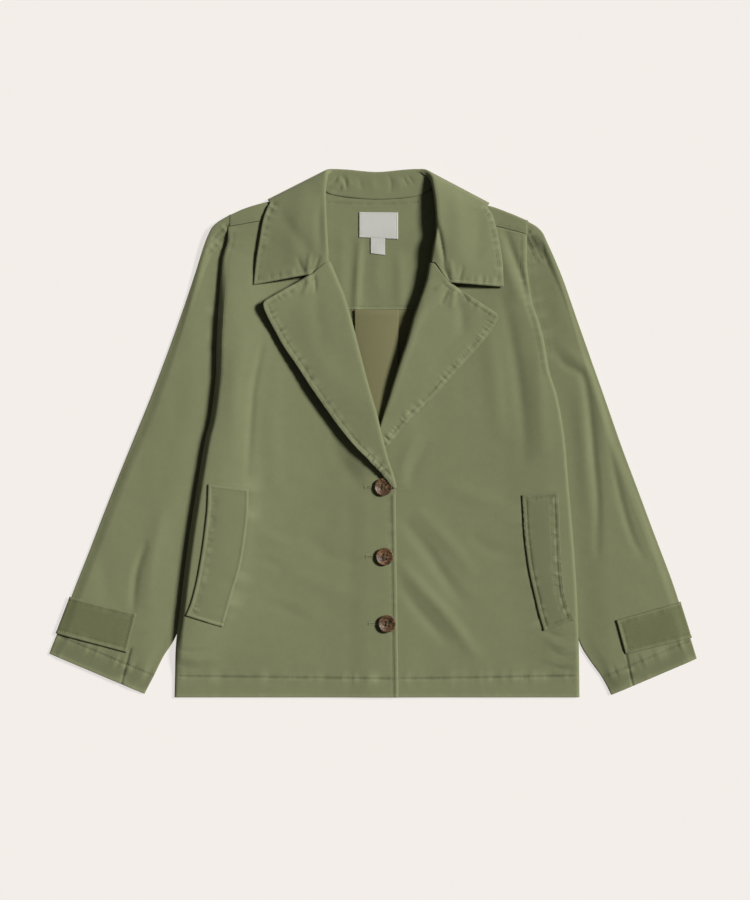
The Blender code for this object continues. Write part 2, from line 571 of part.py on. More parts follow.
def welt_grid(side):
    """A pocket welt on its front, moved out from the front's own height."""
    welt = RIGHT_WELT if side == "right" else LEFT_WELT
    t = np.linspace(0, 1, 6)
    rows = []
    for at in np.linspace(welt["row"][0], welt["row"][-1], 12):
        inner = np.array([read(welt, "inner_x", at), read(welt, "inner_y", at)])
        outer = np.array([read(welt, "outer_x", at), read(welt, "outer_y", at)])
        rows.append(lay(mix(inner, outer, t[:, None]), lambda x, y: front_height(x, y, side)))
    grid = np.array(rows)
    grid[..., 2] += CLOTH_WALL / 2 + 0.5 + DOUBLE_WALL / 2
    return grid


def tab_grid(side):
    """A cuff tab on its sleeve, from its free end to the sleeve's outer fold, where it turns down."""
    tab = RIGHT_TAB if side == "right" else LEFT_TAB
    sleeve = RIGHT_SLEEVE if side == "right" else LEFT_SLEEVE
    thin, full = sleeve["inner"][-2], sleeve["full"][-2]
    rows = []
    for at in np.linspace(0, 1, 5):
        root = np.array([read(tab, "root_x", at), read(tab, "root_y", at)])
        free = np.array([read(tab, "free_x", at), read(tab, "free_y", at)])
        length = np.linalg.norm(root - free)
        along = np.array([0.0, 0.2, 0.4, 0.6, 0.75, 0.86, 0.93, 0.975, 1.0])
        up = FLOOR_LAYER + mix(thin, full, ease((1 - along) * length / 14))
        last = np.append(root + (root - free) / length * 1.4, up[-1] - 0.9)
        rows.append(np.vstack([np.column_stack([mix(free, root, along[:, None]), up]), last]))
    outward = 1.0 if side == "right" else -1.0
    return moved_out(np.array(rows), (CLOTH_WALL / 2 + 0.6 + DOUBLE_WALL / 2) * outward)


def label_grid(bounds):
    left, right, bottom, top = bounds
    rows = []
    for height in np.linspace(bottom, top, 5):
        plan = np.column_stack([np.linspace(left, right, 5), np.full(5, height)])
        rows.append(lay(plan, back_height))
    grid = np.array(rows)
    grid[..., 2] += CLOTH_WALL / 2 + 0.4 + LABEL_WALL / 2
    return grid


# Making the objects

def cloth_material(name, colour, roughness):
    material = bpy.data.materials.new(name)
    material.use_nodes = True
    shader = material.node_tree.nodes["Principled BSDF"]
    shader.inputs["Base Color"].default_value = (*colour, 1.0)
    shader.inputs["Roughness"].default_value = roughness
    shader.inputs["Metallic"].default_value = 0.0
    return material


def add_object(name, vertices, faces, colour, roughness):
    mesh = bpy.data.meshes.new(name)
    mesh.from_pydata(vertices, [], faces)
    mesh.update()
    mesh.shade_smooth()
    part = bpy.data.objects.new(name, mesh)
    part.data.materials.append(cloth_material(name, colour, roughness))
    bpy.context.scene.collection.objects.link(part)
    return part


def in_metres(points):
    """From the garment's millimetres to the object's own frame."""
    return [(x * MM, (y - JACKET_LENGTH / 2) * MM, z * MM) for x, y, z in points]


def add_sheet(name, grid, wall, colour, mask=None, closed=False, flip=False):
    """A wall of cloth round a grid of points; a closed grid is a tube."""
    count, width = grid.shape[:2]
    used = {}
    vertices, faces = [], []

    def corner(row, column):
        key = (row, column % width)
        if key not in used:
            used[key] = len(vertices)
            vertices.append(grid[key])
        return used[key]

    columns = width if closed else width - 1
    for row in range(count - 1):
        for column in range(columns):
            if mask is not None and not mask[row, column]:
                continue
            face = [corner(row, column), corner(row, column + 1),
                    corner(row + 1, column + 1), corner(row + 1, column)]
            faces.append(face[::-1] if flip else face)
    part = add_object(name, in_metres(vertices), faces, colour, CLOTH_ROUGHNESS)
    solid = part.modifiers.new("wall", "SOLIDIFY")
    solid.thickness = wall * MM
    solid.offset = 0.0
    return part


def add_button(name, across, height):
    """A turned button: a dished disc with a raised rim."""
    reach = BUTTON_RADIUS
    turns = np.linspace(0, 2 * math.pi, 16)
    seat = float(np.max(front_height(across + reach * np.cos(turns), height + reach * np.sin(turns), "right")))
    base = seat + CLOTH_WALL / 2 + BUTTON_SHANK
    profile = [(0.0, 0.0), (reach * 0.8, 0.0), (reach, 0.9), (reach, BUTTON_THICKNESS - 0.6),
               (reach - 0.6, BUTTON_THICKNESS), (reach - BUTTON_RIM, BUTTON_THICKNESS),
               (reach - BUTTON_RIM - 0.9, BUTTON_THICKNESS - 0.9), (0.0, BUTTON_THICKNESS - 1.1)]
    steps = 16
    vertices, faces = [], []
    for radius, up in profile[1:-1]:
        for step in range(steps):
            turn = 2 * math.pi * step / steps
            plan = (across + radius * math.cos(turn), height + radius * math.sin(turn))
            vertices.append((*plan, base + up))
    for ring_index in range(len(profile) - 3):
        for step in range(steps):
            after = (step + 1) % steps
            low, high = ring_index * steps, (ring_index + 1) * steps
            faces.append((low + step, low + after, high + after, high + step))
    bottom, top = len(vertices), len(vertices) + 1
    vertices += [(across, height, base + profile[0][1]), (across, height, base + profile[-1][1])]
    last = (len(profile) - 3) * steps
    for step in range(steps):
        after = (step + 1) % steps
        faces.append((bottom, after, step))
        faces.append((top, last + step, last + after))
    return add_object(name, in_metres(vertices), faces, BUTTON_BROWN, BUTTON_ROUGHNESS)


for leftover in list(bpy.data.objects):
    bpy.data.objects.remove(leftover, do_unlink=True)

yoke, yoke_mask = yoke_grid()
add_sheet("back_yoke", yoke, CLOTH_WALL, TWILL, yoke_mask, flip=True)
add_sheet("back_panel", back_grid(), CLOTH_WALL, TWILL_INSIDE)
for side in ("right", "left"):
    grid, mask = front_grid(side)
    add_sheet("front_" + side, grid, CLOTH_WALL, TWILL, mask, flip=side == "left")
    add_sheet("facing_" + side, facing_grid(side), CLOTH_WALL, TWILL, flip=side == "left")
    stations = np.concatenate([[0, 0.6, 1.2, 2.0], np.linspace(3, 12, 13)])
    add_sheet("sleeve_" + side, sleeve_rings(side, stations), CLOTH_WALL, TWILL, closed=True)
    add_sheet("cuff_tab_" + side, tab_grid(side), DOUBLE_WALL, TWILL)
    add_sheet("pocket_welt_" + side, welt_grid(side), DOUBLE_WALL, TWILL, flip=side == "right")
add_sheet("collar", collar_grid(), DOUBLE_WALL, TWILL)
add_sheet("neck_label", label_grid(NECK_LABEL), LABEL_WALL, LABEL_WHITE)
add_sheet("size_tab", label_grid(SIZE_TAB), LABEL_WALL, LABEL_WHITE)
for name, number in (("button_bottom", 0), ("button_middle", 1), ("button_top", 2)):
    add_button(name, BUTTONS["across"][number], BUTTONS["height"][number])
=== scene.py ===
"""The trench jacket as it is seen: cloth, sewing, buttons and labels, on a pale floor.

Left and right are the wearer's. The tables are in millimetres, across from the centre line and up
from the hem, as the cloth lies; the pieces are placed in metres, where their solids are.
"""

import math

import bpy
import numpy as np
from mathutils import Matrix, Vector
from mathutils.bvhtree import BVHTree


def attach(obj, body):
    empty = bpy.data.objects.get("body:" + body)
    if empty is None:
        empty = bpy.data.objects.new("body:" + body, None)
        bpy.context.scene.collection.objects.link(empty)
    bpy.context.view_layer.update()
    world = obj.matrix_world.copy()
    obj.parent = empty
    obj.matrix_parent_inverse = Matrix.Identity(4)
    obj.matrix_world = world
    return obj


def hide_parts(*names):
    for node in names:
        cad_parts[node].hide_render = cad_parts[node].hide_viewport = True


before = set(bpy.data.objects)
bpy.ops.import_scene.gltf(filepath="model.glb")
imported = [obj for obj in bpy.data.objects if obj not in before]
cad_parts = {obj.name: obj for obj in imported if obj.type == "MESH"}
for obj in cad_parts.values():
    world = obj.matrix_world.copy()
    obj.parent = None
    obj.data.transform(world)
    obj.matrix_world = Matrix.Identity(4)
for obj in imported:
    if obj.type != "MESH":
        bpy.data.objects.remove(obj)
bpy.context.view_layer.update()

MM = 0.001
# Driving sizes of the garment, in millimetres
JACKET_LENGTH = 662.0           # hem to the top of the collar
CLOTH_WALL = 1.1                # one layer of twill
DOUBLE_WALL = 1.9               # two layers sewn together: collar, welts and tabs
SEAM_GAP = 0.35                 # kept between pieces that touch
LAYER = CLOTH_WALL + SEAM_GAP   # from the middle of one layer to the middle of the next
FLOOR_LAYER = CLOTH_WALL / 2    # middle of a layer that lies on the floor
LOFT = 4.6                      # front above back, middle to middle

YOKE_SEAM = 485.0               # height of the back yoke's lower seam
PLEAT_CENTRE = 4.4              # box pleat of the lower back
PLEAT_HALF = 27.0
UNDERARM = 398.0                # below this height a sleeve may lie under the body
BUTTON_RADIUS = 11.0
BUTTON_THICKNESS = 3.4
BUTTON_RIM = 1.7
BUTTON_SHANK = 0.7              # clear height of the thread under a button
LABEL_WALL = 1.0

INWARD = {"right": 1.0, "left": -1.0}       # the way across from each side edge to the centre line


def table(text):
    """A table with the names of its columns in the first line; it is read along its first column."""
    names, *rows = text.strip().splitlines()
    return dict(zip(names.split(), np.array([row.split() for row in rows], dtype=float).T))


def read(source, column, at):
    """Reads a column at any place between its rows, along a smooth curve that never overshoots."""
    key = next(iter(source))
    knots, values = source[key], source[column]
    at = np.clip(np.asarray(at, dtype=float), knots[0], knots[-1])
    span = np.diff(knots)
    rise = np.diff(values) / span
    slope = np.concatenate([rise[:1], np.zeros(len(rise) - 1), rise[-1:]])
    same_way = rise[:-1] * rise[1:] > 0
    total = np.where(same_way, rise[:-1] + rise[1:], 1.0)
    slope[1:-1] = np.where(same_way, 2 * rise[:-1] * rise[1:] / total, 0.0)
    cell = np.clip(np.searchsorted(knots, at, side="right") - 1, 0, len(span) - 1)
    t = (at - knots[cell]) / span[cell]
    h = span[cell]
    return ((1 + 2 * t) * (1 - t) ** 2 * values[cell] + t * (1 - t) ** 2 * h * slope[cell]
            + t * t * (3 - 2 * t) * values[cell + 1] + t * t * (t - 1) * h * slope[cell + 1])


def row_at(source, at):
    """All columns of a table at one place."""
    return {name: float(read(source, name, at)) for name in source}


def ease(x):
    """0 below 0, 1 above 1, and a smooth step between."""
    x = np.clip(x, 0.0, 1.0)
    return x * x * (3 - 2 * x)


def rise(value, start, end):
    """0 before start, 1 past end and a smooth step between; start may be the larger of the two."""
    return ease((value - start) / (end - start))


def mix(a, b, t):
    return a + (b - a) * t


def spaced(*parts):
    """Values in rising order from (start, end, count) parts, each of which starts where the last ends."""
    steps = [np.linspace(*part)[:-1] for part in parts]
    return np.concatenate(steps + [[parts[-1][1]]])


def unit(vectors):
    """Vectors of a list or a grid, made one long."""
    return vectors / np.maximum(np.linalg.norm(vectors, axis=-1, keepdims=True), 1e-9)


# Sides of the body: the armhole seam above, the side seam below. A shelf is the strip of the back
# that is lifted off the floor by the sleeve tucked under it.
BODY = table("""
height right_edge left_edge right_shelf left_shelf right_lift left_lift
0 -248.8 258.8 4 4 0.3 0.3
30 -248 258.3 5 5 1.2 1
60 -246.8 257.6 8 8 5 3.7
122 -240 255.5 20 18 5 3.7
172 -234 252.5 28 23 5 3.7
209 -228.8 249.5 29 24 5 3.7
272 -218.6 244.2 24 20 5 3.7
322 -210 240 16 16 5 3.7
347 -203.8 236.3 12 14 5 3.7
378 -199.2 230 10 10 5 3.7
409 -196.3 220.5 10 10 5 3.7
441 -195.6 215 10 10 5 3.7
466 -194.4 208.8 10 10 5 3.7
497 -192.5 198.8 10 10 5 3.7
547 -188.8 192.8 10 10 5 3.7
572 -182.5 192.8 10 10 5 3.7
600 -180 194 10 10 5 3.7
""")
SHELF_RAMP = 64.0               # width over which the back comes down to the floor
EDGE_CURL = 4.5                 # width over which a front turns down to its side seam
CURL_TOP = (568.0, 588.0)       # the curl fades out towards the shoulder
SIDE_RIDGE = 7.5                # how much higher the right front stands beside the sleeve
RIDGE_PLACE = 9.0               # how far inside its edge, and the widths to either side
RIDGE_OUTSIDE = 12.0
RIDGE_INSIDE = 90.0
RIDGE_BOTTOM = (20.0, 110.0)    # heights between which the ridge comes up, and goes down again
RIDGE_TOP = (560.0, 470.0)

# How much each layer is lifted by what lies under it, and the places between which that comes on
FALL_LIFT = 2.2                 # the yoke, where it lies over the back of the collar
FALL_UP = (552.0, 590.0)
FALL_ACROSS = (172.0, 134.0)
PLEAT_LIFT = 0.75               # both fronts, over the pleat
PLEAT_EDGE = 34.0
PLEAT_RAMP = 40.0
PLEAT_TOP = (470.0, 530.0)
HEM_DROP = 0.9                  # both fronts lie lower at the hem, up to this height
HEM_DROP_TOP = 45.0
LAP_LIFT = 1.55                 # the right front, over the left one
LAP_ACROSS = (-34.0, -6.0)
LAP_TOP = (520.0, 430.0)
LAPEL_LIFT = 4.7                # the right front, over the left lapel
LAPEL_BOTTOM = (272.0, 300.0)
LAPEL_TOP = (440.0, 348.0)
LAPEL_ACROSS = (-52.0, -4.0)

# Top line of the back yoke: the shoulder fold at either side, the neck seam between
YOKE_TOP = table("""
across height
-180 602.4
-160 611.4
-136 618.6
-128 620.4
-100 630
-74 640.5
-66 635
-60 631.4
-55 629.4
-35 625.3
-16 623.6
4.4 623.2
27.5 623.6
46.3 625.5
56.3 627.3
63 629.8
70 632.6
80 636.6
91 637
108.8 629.2
142 615.4
150 613.4
171.3 605.5
194 596
""")
NECK_POINTS = (-74.0, 91.0)     # where the neck seam passes the shoulder folds

# Seam between the yoke's forward strips and the fronts
SHOULDER_SEAM = table("""
across height
-180 588.5
-139 595.6
-74 606
92 599.4
154 588.8
194 578.5
""")

# Roll line of each lapel, up from its break: how far across it lies, how high the fold stands
# above the front, and where the lapel's outer edge is and how high that stands above the front.
ROLL = {"right": table("""
height across fold edge_across edge_height edge_lift knee
262 28.4 3.4 25 262.8 3.4 0
268 27.2 4.2 17.5 273 4.4 0
278 24.4 5 6 286 5.6 0
295 18.8 5.4 -18 309 7.6 0
313 13.8 5.8 -38 333 9.2 0
337 7.8 6.2 -62 366 10.6 0
357 3 6.8 -80 392 11 0
384 -5 7.6 -95 415 11 0
424 -15.6 9 -112 440 10.8 0
463 -25.6 10.6 -123 460 12 0
501 -36.4 11.6 -131 475 14.5 0
522 -45 12 -135.5 485.5 16.5 -1
544 -54.4 12 -137.5 493 17 -4
"""), "left": table("""
height across fold edge_across edge_height edge_lift knee
299 0.6 2.6 14 307.5 2.6 0
318 3.5 2.9 24 320 2.6 0
347 11.9 3.6 41 341 2.6 0
372 20 6 62 362.5 2.6 0
397 27.5 8.6 83 384 2.6 0
422 35.6 10.2 97 400 2.6 0
447 43.8 11.2 111 415.5 2.6 0
472 50.6 12 126 432 2.8 0
497 59.4 12.4 141 450 3 0
522 67.5 12.4 152 466 3.4 -3
542 71 13 157.5 477 4 -9
""")}

# Closing edge of each front, across, at the hem and just under the break
CLOSING_EDGE = {"right": {"hem": 31.8, "break": 28.1}, "left": {"hem": -1.2, "break": -1.2}}

# Neck edge of each front, from the gorge up to the shoulder seam
NECK = {"right": table("""
height across
544 -61.8
560 -67.4
585 -72.4
606 -74
"""), "left": table("""
height across
542 79
560 87.5
585 92
601 92
""")}

# Sleeves, from the armhole to the cuff: the outer fold and the inner fold, which is tucked under
# the body between the underarm and the tenth row; then the thickness of the pressed tube at its
# inner part and at its full part.
SLEEVE = {"right": table("""
station out_across out_up in_across in_up inner full
0 -179.5 603.4 -196.6 376.5 2.2 3.6
0.25 -187 601.2 -197.3 376.4 2.2 3.8
0.5 -194.5 596 -198 376.2 2.2 3.9
1 -206.5 575.5 -199.6 375.8 2.2 4.2
2 -222 530 -202 372 2.2 4.9
3 -237.5 484.4 -203.6 363 2.2 4.9
4 -257.5 428.1 -204.2 344 2.2 4.9
5 -278.8 371.9 -203.5 306 2.2 4.9
6 -300.5 319 -206.5 250 2.2 4.9
7 -320.5 270 -213 192 2.2 4.9
8 -338 226 -226 132 2.2 4.9
9 -355.5 180.6 -248.8 71.9 2.2 4.9
10 -370.8 141.9 -262.5 50.6 2.3 4.9
11 -388.8 94.4 -275 25.6 2.5 4.8
12 -404.4 54.4 -286.3 4.4 2.8 4.6
"""), "left": table("""
station out_across out_up in_across in_up inner full
0 194.5 596.6 228.6 378.5 2.2 3.6
0.25 200.5 593.6 229.2 378.4 2.2 3.8
0.5 206.5 589.3 229.8 378.3 2.3 3.9
1 217.5 568 231 378 2.5 4.2
2 236 525.5 233.6 374.2 2.6 4.9
3 256 468.6 235.6 364.5 2.6 4.9
4 273 420 236.2 343 2.4 4.9
5 290 372 235.5 308 2.2 4.9
6 311 312 235.5 246 2.2 4.9
7 331 259 236.5 188 2.2 4.9
8 346 219 243 130 2.2 4.9
9 360.7 180.6 260 64.4 2.2 4.9
10 373.3 146.9 270 48.1 2.3 4.9
11 389.5 96.9 286.3 25.6 2.5 4.8
12 404.4 48.1 298.8 3.1 2.8 4.6
""")}

# Collar, from the front end of the right half (station 0) round the back (9) to the left front end
# (18). neck: the seam to the body. roll: the line where it folds over. edge: its free edge.
# out: the heading of the roll's outside, in degrees from +X. side: the way from the stand to the
# fall, 90 above it, 0 beside it, -90 under it. fold: half the space between stand and fall.
# knee: how far the fall is drawn down at the notch. over: 1 where edge_z is taken above the front.
COLLAR = table("""
station neck_x neck_y neck_z roll_x roll_y roll_z out side fold edge_x edge_y edge_z knee over
0 -61.8 547.4 6 -54.9 546.6 12 12 90 5.9 -149.4 515 2.9 -11 1
1 -65.2 561 6.6 -55.6 560 12.8 4 90 5.8 -146.2 545 2.9 -3 1
2 -67.6 585 7.6 -57 584.4 13.8 3 90 5.6 -141.6 573 2.9 0 1
3 -67.8 606 7.8 -58 606.5 13.8 3 90 5.2 -137.6 595 2.9 0 1
4 -67.4 622 7.6 -58.6 627 12.8 6 86 4.6 -132.6 609.5 3 0 1
5 -68 638 7.2 -56.6 650 10.2 20 60 3.6 -129.2 617.4 11.4 0 0
5.5 -67.6 639.5 6.75 -55.6 655.6 8.3 27 34 3.1 -130.3 620.3 9.3 0 0
6 -66.8 640.3 5.55 -53.8 658.6 5.9 34 0 2.6 -131.4 621.8 6 0 0
6.5 -68.3 643 4.35 -50.8 660.6 3.4 47 -42 1.95 -130.4 620.3 2.9 0 0
7 -64.9 642.8 3.9 -46 661 2.6 62 -80 1.5 -127.6 617 1 0 0
7.5 -57.5 632.5 3.6 -40.1 660.8 2.5 75 -87 1.5 -115.4 610.9 1 0 0
8 -46 629 3.5 -32 660.4 2.45 84 -90 1.45 -92 604 1 0 0
9 4.4 624.1 3.5 4.4 657.4 2.45 90 -90 1.45 4.4 596 1 0 0
10 48 627 3.5 38 660.2 2.45 96 -90 1.45 100 602 1 0 0
10.5 66.5 633 3.6 46 660.8 2.5 105 -87 1.5 125.9 607.3 1 0 0
11 78.8 641.5 3.9 52 661 2.6 118 -80 1.5 140 612.4 1 0 0
11.5 82.5 641.8 4.35 57.4 660.6 3.4 133 -42 1.95 143.9 615.7 2.9 0 0
12 84.5 641.2 5.55 61.8 658.8 5.9 146 0 2.6 145.4 617.4 6 0 0
12.5 85.4 639.9 6.75 67.1 654.8 8.3 151 34 3.1 144.4 615.9 9.3 0 0
13 86 638 7.2 71.5 648 11.5 156 60 4.4 143.4 612.8 11.4 0 0
14 86.6 621 7.4 76 625 15.6 172 86 6.2 149 603 3 0 1
15 88 603 7.6 77.8 603.5 16.6 178 90 7 153 590 2.9 0 1
16 88 584 7.4 78.4 584 16.4 182 90 7.2 158 567 2.9 -4 1
17 84 562 6.6 74.6 562 14.8 188 90 7 162 540 2.9 -11 1
18 77.2 545 6 71.6 544.8 13 194 90 6.6 163 512.5 2.9 -21 1
""")
KNEE = 0.22                     # where along the fall, or the lapel's top edge, the notch lies
GORGE_LAP = 3.2                 # how far the collar's ends go in under the lapels, up to the notch

# Pocket welts, up from their lower ends: the side towards the centre and the side away from it
WELT = {"right": table("""
row inner_x inner_y outer_x outer_y
0 -187.1 88.5 -232.9 103.5
1 -181.5 108 -227.4 116
2 -174.6 132 -220.4 141
3 -164.5 167 -213.4 178.5
4 -158.8 201 -208.8 211.9
5 -155.4 235 -205.9 241
6 -155 261 -205 267
"""), "left": table("""
row inner_x inner_y outer_x outer_y
0 213.4 83.5 250.4 97.3
1 207 105 243.5 113
2 201.6 128.5 238.2 133
3 196.5 150 235.8 153
4 192.6 172 234.4 174.5
5 188.6 209 233 212
6 186.1 253 231.2 257
""")}

# Cuff tabs, upper edge and lower edge: the root on the sleeve's outer fold, and the free end
TAB = {"right": table("""
edge root_x root_y free_x free_y
0 -377.1 125.3 -295.4 105.3
1 -394.7 79.4 -307.9 56.5
"""), "left": table("""
edge root_x root_y free_x free_y
0 382.4 119 303.8 96.9
1 396.5 74 315.4 54
""")}

BUTTONS = {"bottom": (17.5, 92.5), "middle": (14.4, 176.3), "top": (12.6, 263.2)}     # across, height
NECK_LABEL = (-17.5, 31.3, 575.4, 607.0)    # from and to across, bottom and top
SIZE_TAB = (-3.0, 15.0, 555.5, 574.8)

# Main creases: the layer, how high they stand (below 0 is a trough), their half
# width, and the points they run through, across and up.
CREASE_LIST = """
front_right -1.6 4.5 -136,452 -150,378 -157,272
front_right 1.5 13 -160,470 -172,380 -174,292
front_right 0.9 12 -118,420 -128,340 -120,250
front_right -0.8 9 -56,330 -30,282 6,240
front_right -0.9 10 -90,206 -50,176 -6,168
front_right 0.8 12 -110,160 -60,140 -8,120
front_right -0.6 6 -158,176 -128,170 -112,158
front_right 0.7 8 -150,206 -128,200 -102,186
front_right -0.6 7 -142,120 -110,110 -80,96
front_left -2.2 5 163,588 176,552 194,500 204,462
front_left 1.4 7 152,586 164,548 184,492
front_left -1.7 8 158,514 171,462 187,352 190,286
front_left 1.6 12 136,500 150,420 160,320
front_left 1.1 9 205,440 208,380 212,300
front_left 2.2 8 30,172 52,146 90,104 133,46
front_left -1.8 8 36,224 72,178 90,150 116,116
front_left -1.6 7 31,144 60,106 96,66
front_left 1.2 9 52,236 92,196 128,150
front_left -1 7 70,318 52,288 44,262
front_left 0.9 7 56,330 38,294 34,262
front_left -0.8 8 120,204 150,184 182,180
front_left 0.9 10 90,262 130,250 176,236
sleeve_right -1.8 5 -301,104 -297,150 -283,196
sleeve_right 1.3 9 -286,110 -278,170 -262,240
sleeve_right -0.9 12 -330,110 -342,190 -322,262
sleeve_right 0.9 12 -352,120 -330,240 -290,330
sleeve_right -0.7 14 -262,250 -246,350 -226,440
sleeve_left -2 5.5 214,444 240,416 262,402 270,362 276,300 281,236 280,172
sleeve_left 1.4 7 224,448 254,424 276,404 286,352 292,296
sleeve_left 1.2 10 256,380 262,310 266,230
sleeve_left -1.5 5 296,310 312,240 326,196 340,172
sleeve_left 0.9 9 322,300 336,240 352,190
sleeve_left -0.8 12 226,560 248,500 268,440
lapel_right -0.6 8 -64,530 -70,490 -60,440
lapel_right 0.5 10 -92,500 -80,450 -48,390
lapel_left -1.2 7 98,518 110,480 112,452
lapel_left 1.4 6 88,514 62,482 36,424 14,354
lapel_left -0.7 8 124,494 104,452 70,410
collar_right -1.5 6.5 -62,630 -66,590 -64,552
collar_right 1.2 12 -84,640 -92,596 -100,540
collar_right -1 8 -120,610 -104,588 -84,562 -74,540
collar_left -3.2 2.4 77,597 82,580 86,560 89,537
collar_left 1.3 4 74,585 78,566 82,545
collar_left 1.2 10 96,640 106,596 108,540
collar_left -0.9 9 128,616 132,580 128,540
lapel_right -1.8 2.4 -75,529 -72,518 -72,504
lapel_right 1.5 2.6 -79,528 -82,514 -87,502
lapel_right -1.4 2.4 -84,526 -93,517 -103,509
lapel_left -2 2.6 96,515 90,503 84,490
lapel_left 1.6 2.8 101,514 100,500 97,486
lapel_left -1.6 2.4 105,513 113,503 119,496
lapel_left 1.4 2.6 93,520 84,512 77,508
collar_right -1.6 2.4 -75,528 -70,541 -66,552
collar_right 1.4 2.6 -80,529 -80,543 -77,555
collar_right -1.3 2.4 -86,528 -91,541 -94,550
collar_left -1.7 2.6 96,516 91,529 86,542
collar_left 1.4 2.6 101,517 98,532 96,546
collar_left -1.3 2.4 106,517 110,530 112,540
front_right -0.9 3 -246,62 -226,58 -200,62
front_right 0.8 3.5 -245,52 -222,47 -196,50
front_right -0.8 3 -246,42 -224,37 -204,40
front_left -1 3 212,84 236,76 257,80
front_left 0.9 3.5 216,72 240,64 257,68
front_left -1 3 220,60 240,52 258,56
front_left 0.8 3 214,48 238,42 258,45
front_left -0.7 2.6 226,38 244,34 258,36
stand -1.2 1.8 -55,643 -48,646 -43,653
stand 1 2 -54,638 -46,640 -40,646
stand -1.1 1.6 -51,632 -44,634 -38,640
stand 0.9 2.2 -45,650 -39,644 -35,634
stand -1.3 2 -41,654 -35,646 -33,635
stand 0.6 2.6 -31,651 -28,639
stand -0.6 3 -18,650 -13,634
stand 0.5 5 -3,652 2,632
stand -0.8 2.5 19,654 23,642 21,631
stand 0.5 4 30,652 34,635
stand -0.7 2 37,650 44,640
stand -0.8 1.8 44,652 51,643
back 2.6 4.2 -16,578 -18,548 -20,515 -22,466
back 0.8 7 -38,590 -39,540 -40,478
back 0.9 9 8,566 4,530 6,500
back 1 6 31,560 34,520 32,478
back 1.5 5 -3,480 2,446 9,410 12,384
back 1.1 6 22,480 18,450 22,424
back 0.8 12 -120,420 -150,280 -140,160
back 0.7 12 110,400 140,260 150,120
"""


def crease(line):
    """Layer, height, half width and points of a crease, from its line in the list."""
    layer, height, half, *points = line.split()
    return layer, float(height), float(half), [tuple(map(float, point.split(","))) for point in points]


CREASES = [crease(line) for line in CREASE_LIST.strip().splitlines()]


def inside_edge(across, height, side):
    """Distance in from one side edge of the body."""
    return (across - read(BODY, side + "_edge", height)) * INWARD[side]


def wall_edges(height):
    """Where the middle of a wall ends at the right and at the left edge of the body."""
    return [read(BODY, side + "_edge", height) + CLOTH_WALL / 2 * INWARD[side] for side in INWARD]


def back_height(across, height):
    """Middle of the back layer: on the floor, over the tucked sleeves and over the collar's fall."""
    lift = 0.0
    for side in INWARD:
        past_shelf = inside_edge(across, height, side) - read(BODY, side + "_shelf", height)
        lift = lift + read(BODY, side + "_lift", height) * ease(1 - past_shelf / SHELF_RAMP)
    over_fall = FALL_LIFT * rise(height, *FALL_UP) * rise(np.abs(across), *FALL_ACROSS)
    return FLOOR_LAYER + lift + over_fall


def front_height(across, height, side):
    """Middle of a front: a loft above the back, turned down to the side seam at its edge."""
    inside = inside_edge(across, height, side)
    reach = np.clip(1 - (inside - CLOTH_WALL / 2) / EDGE_CURL, 0.0, 1.0)
    curl = (1 - np.sqrt(np.maximum(1 - reach ** 2, 0.0))) * (1 - rise(height, *CURL_TOP))
    lowest = CLOTH_WALL / 2 + 2 * SEAM_GAP
    over_pleat = PLEAT_LIFT * ease(1 - (np.abs(across - PLEAT_CENTRE) - PLEAT_EDGE) / PLEAT_RAMP)
    up = LOFT + over_pleat * (1 - rise(height, *PLEAT_TOP)) - HEM_DROP * ease(1 - height / HEM_DROP_TOP)
    if side == "right":
        up = up + LAP_LIFT * rise(across, *LAP_ACROSS) * rise(height, *LAP_TOP)
        over_left_lapel = rise(height, *LAPEL_BOTTOM) * rise(height, *LAPEL_TOP)
        up = up + LAPEL_LIFT * over_left_lapel * rise(across, *LAPEL_ACROSS)
    return back_height(across, height) + mix(up, lowest, curl)


# Lines on the cloth

FAR = 1000.0                    # stands for any distance that is out of reach


def ways_along(line):
    """How far along a line each of its points lies."""
    return np.concatenate([[0.0], np.cumsum(np.linalg.norm(np.diff(line, axis=0), axis=1))])


def curve(points, steps=14):
    """A smooth line through a few plan points."""
    points = np.asarray(points, dtype=float)[:, :2]
    if len(points) < 3:
        return mix(points[0], points[-1], np.linspace(0, 1, steps)[:, None])
    spans = {"at": ways_along(points), "x": points[:, 0], "y": points[:, 1]}
    at = np.linspace(0, spans["at"][-1], steps * (len(points) - 1))
    return np.column_stack([read(spans, "x", at), read(spans, "y", at)])


def evenly(line, step):
    """Places along a line an even step apart, and the headings there."""
    line = np.asarray(line)[:, :2]
    ways = ways_along(line)
    at = np.arange(step / 2, ways[-1], step)

    def places(at):
        return np.column_stack([np.interp(at, ways, line[:, axis]) for axis in (0, 1)])

    return places(at), unit(places(at + 0.5) - places(at - 0.5))


def nearest(line, x, y, reach):
    """Distance from a line, the way along it to the nearest place, and the line's length."""
    line = np.asarray(line)[:, :2]
    distance, way = np.full(x.shape, FAR), np.zeros(x.shape)
    low, high = line.min(axis=0) - reach, line.max(axis=0) + reach
    near = (x > low[0]) & (x < high[0]) & (y > low[1]) & (y < high[1])
    px, py = x[near], y[near]
    best, best_way = np.full(px.shape, FAR), np.zeros(px.shape)
    start = 0.0
    for a, b in zip(line[:-1], line[1:]):
        step = b - a
        length = math.hypot(*step)
        if length < 1e-6:
            continue
        share = np.clip(((px - a[0]) * step[0] + (py - a[1]) * step[1]) / length ** 2, 0, 1)
        away = np.hypot(px - a[0] - share * step[0], py - a[1] - share * step[1])
        closer = away < best
        best = np.where(closer, away, best)
        best_way = np.where(closer, start + share * length, best_way)
        start += length
    distance[near], way[near] = best, best_way
    return distance, way, start


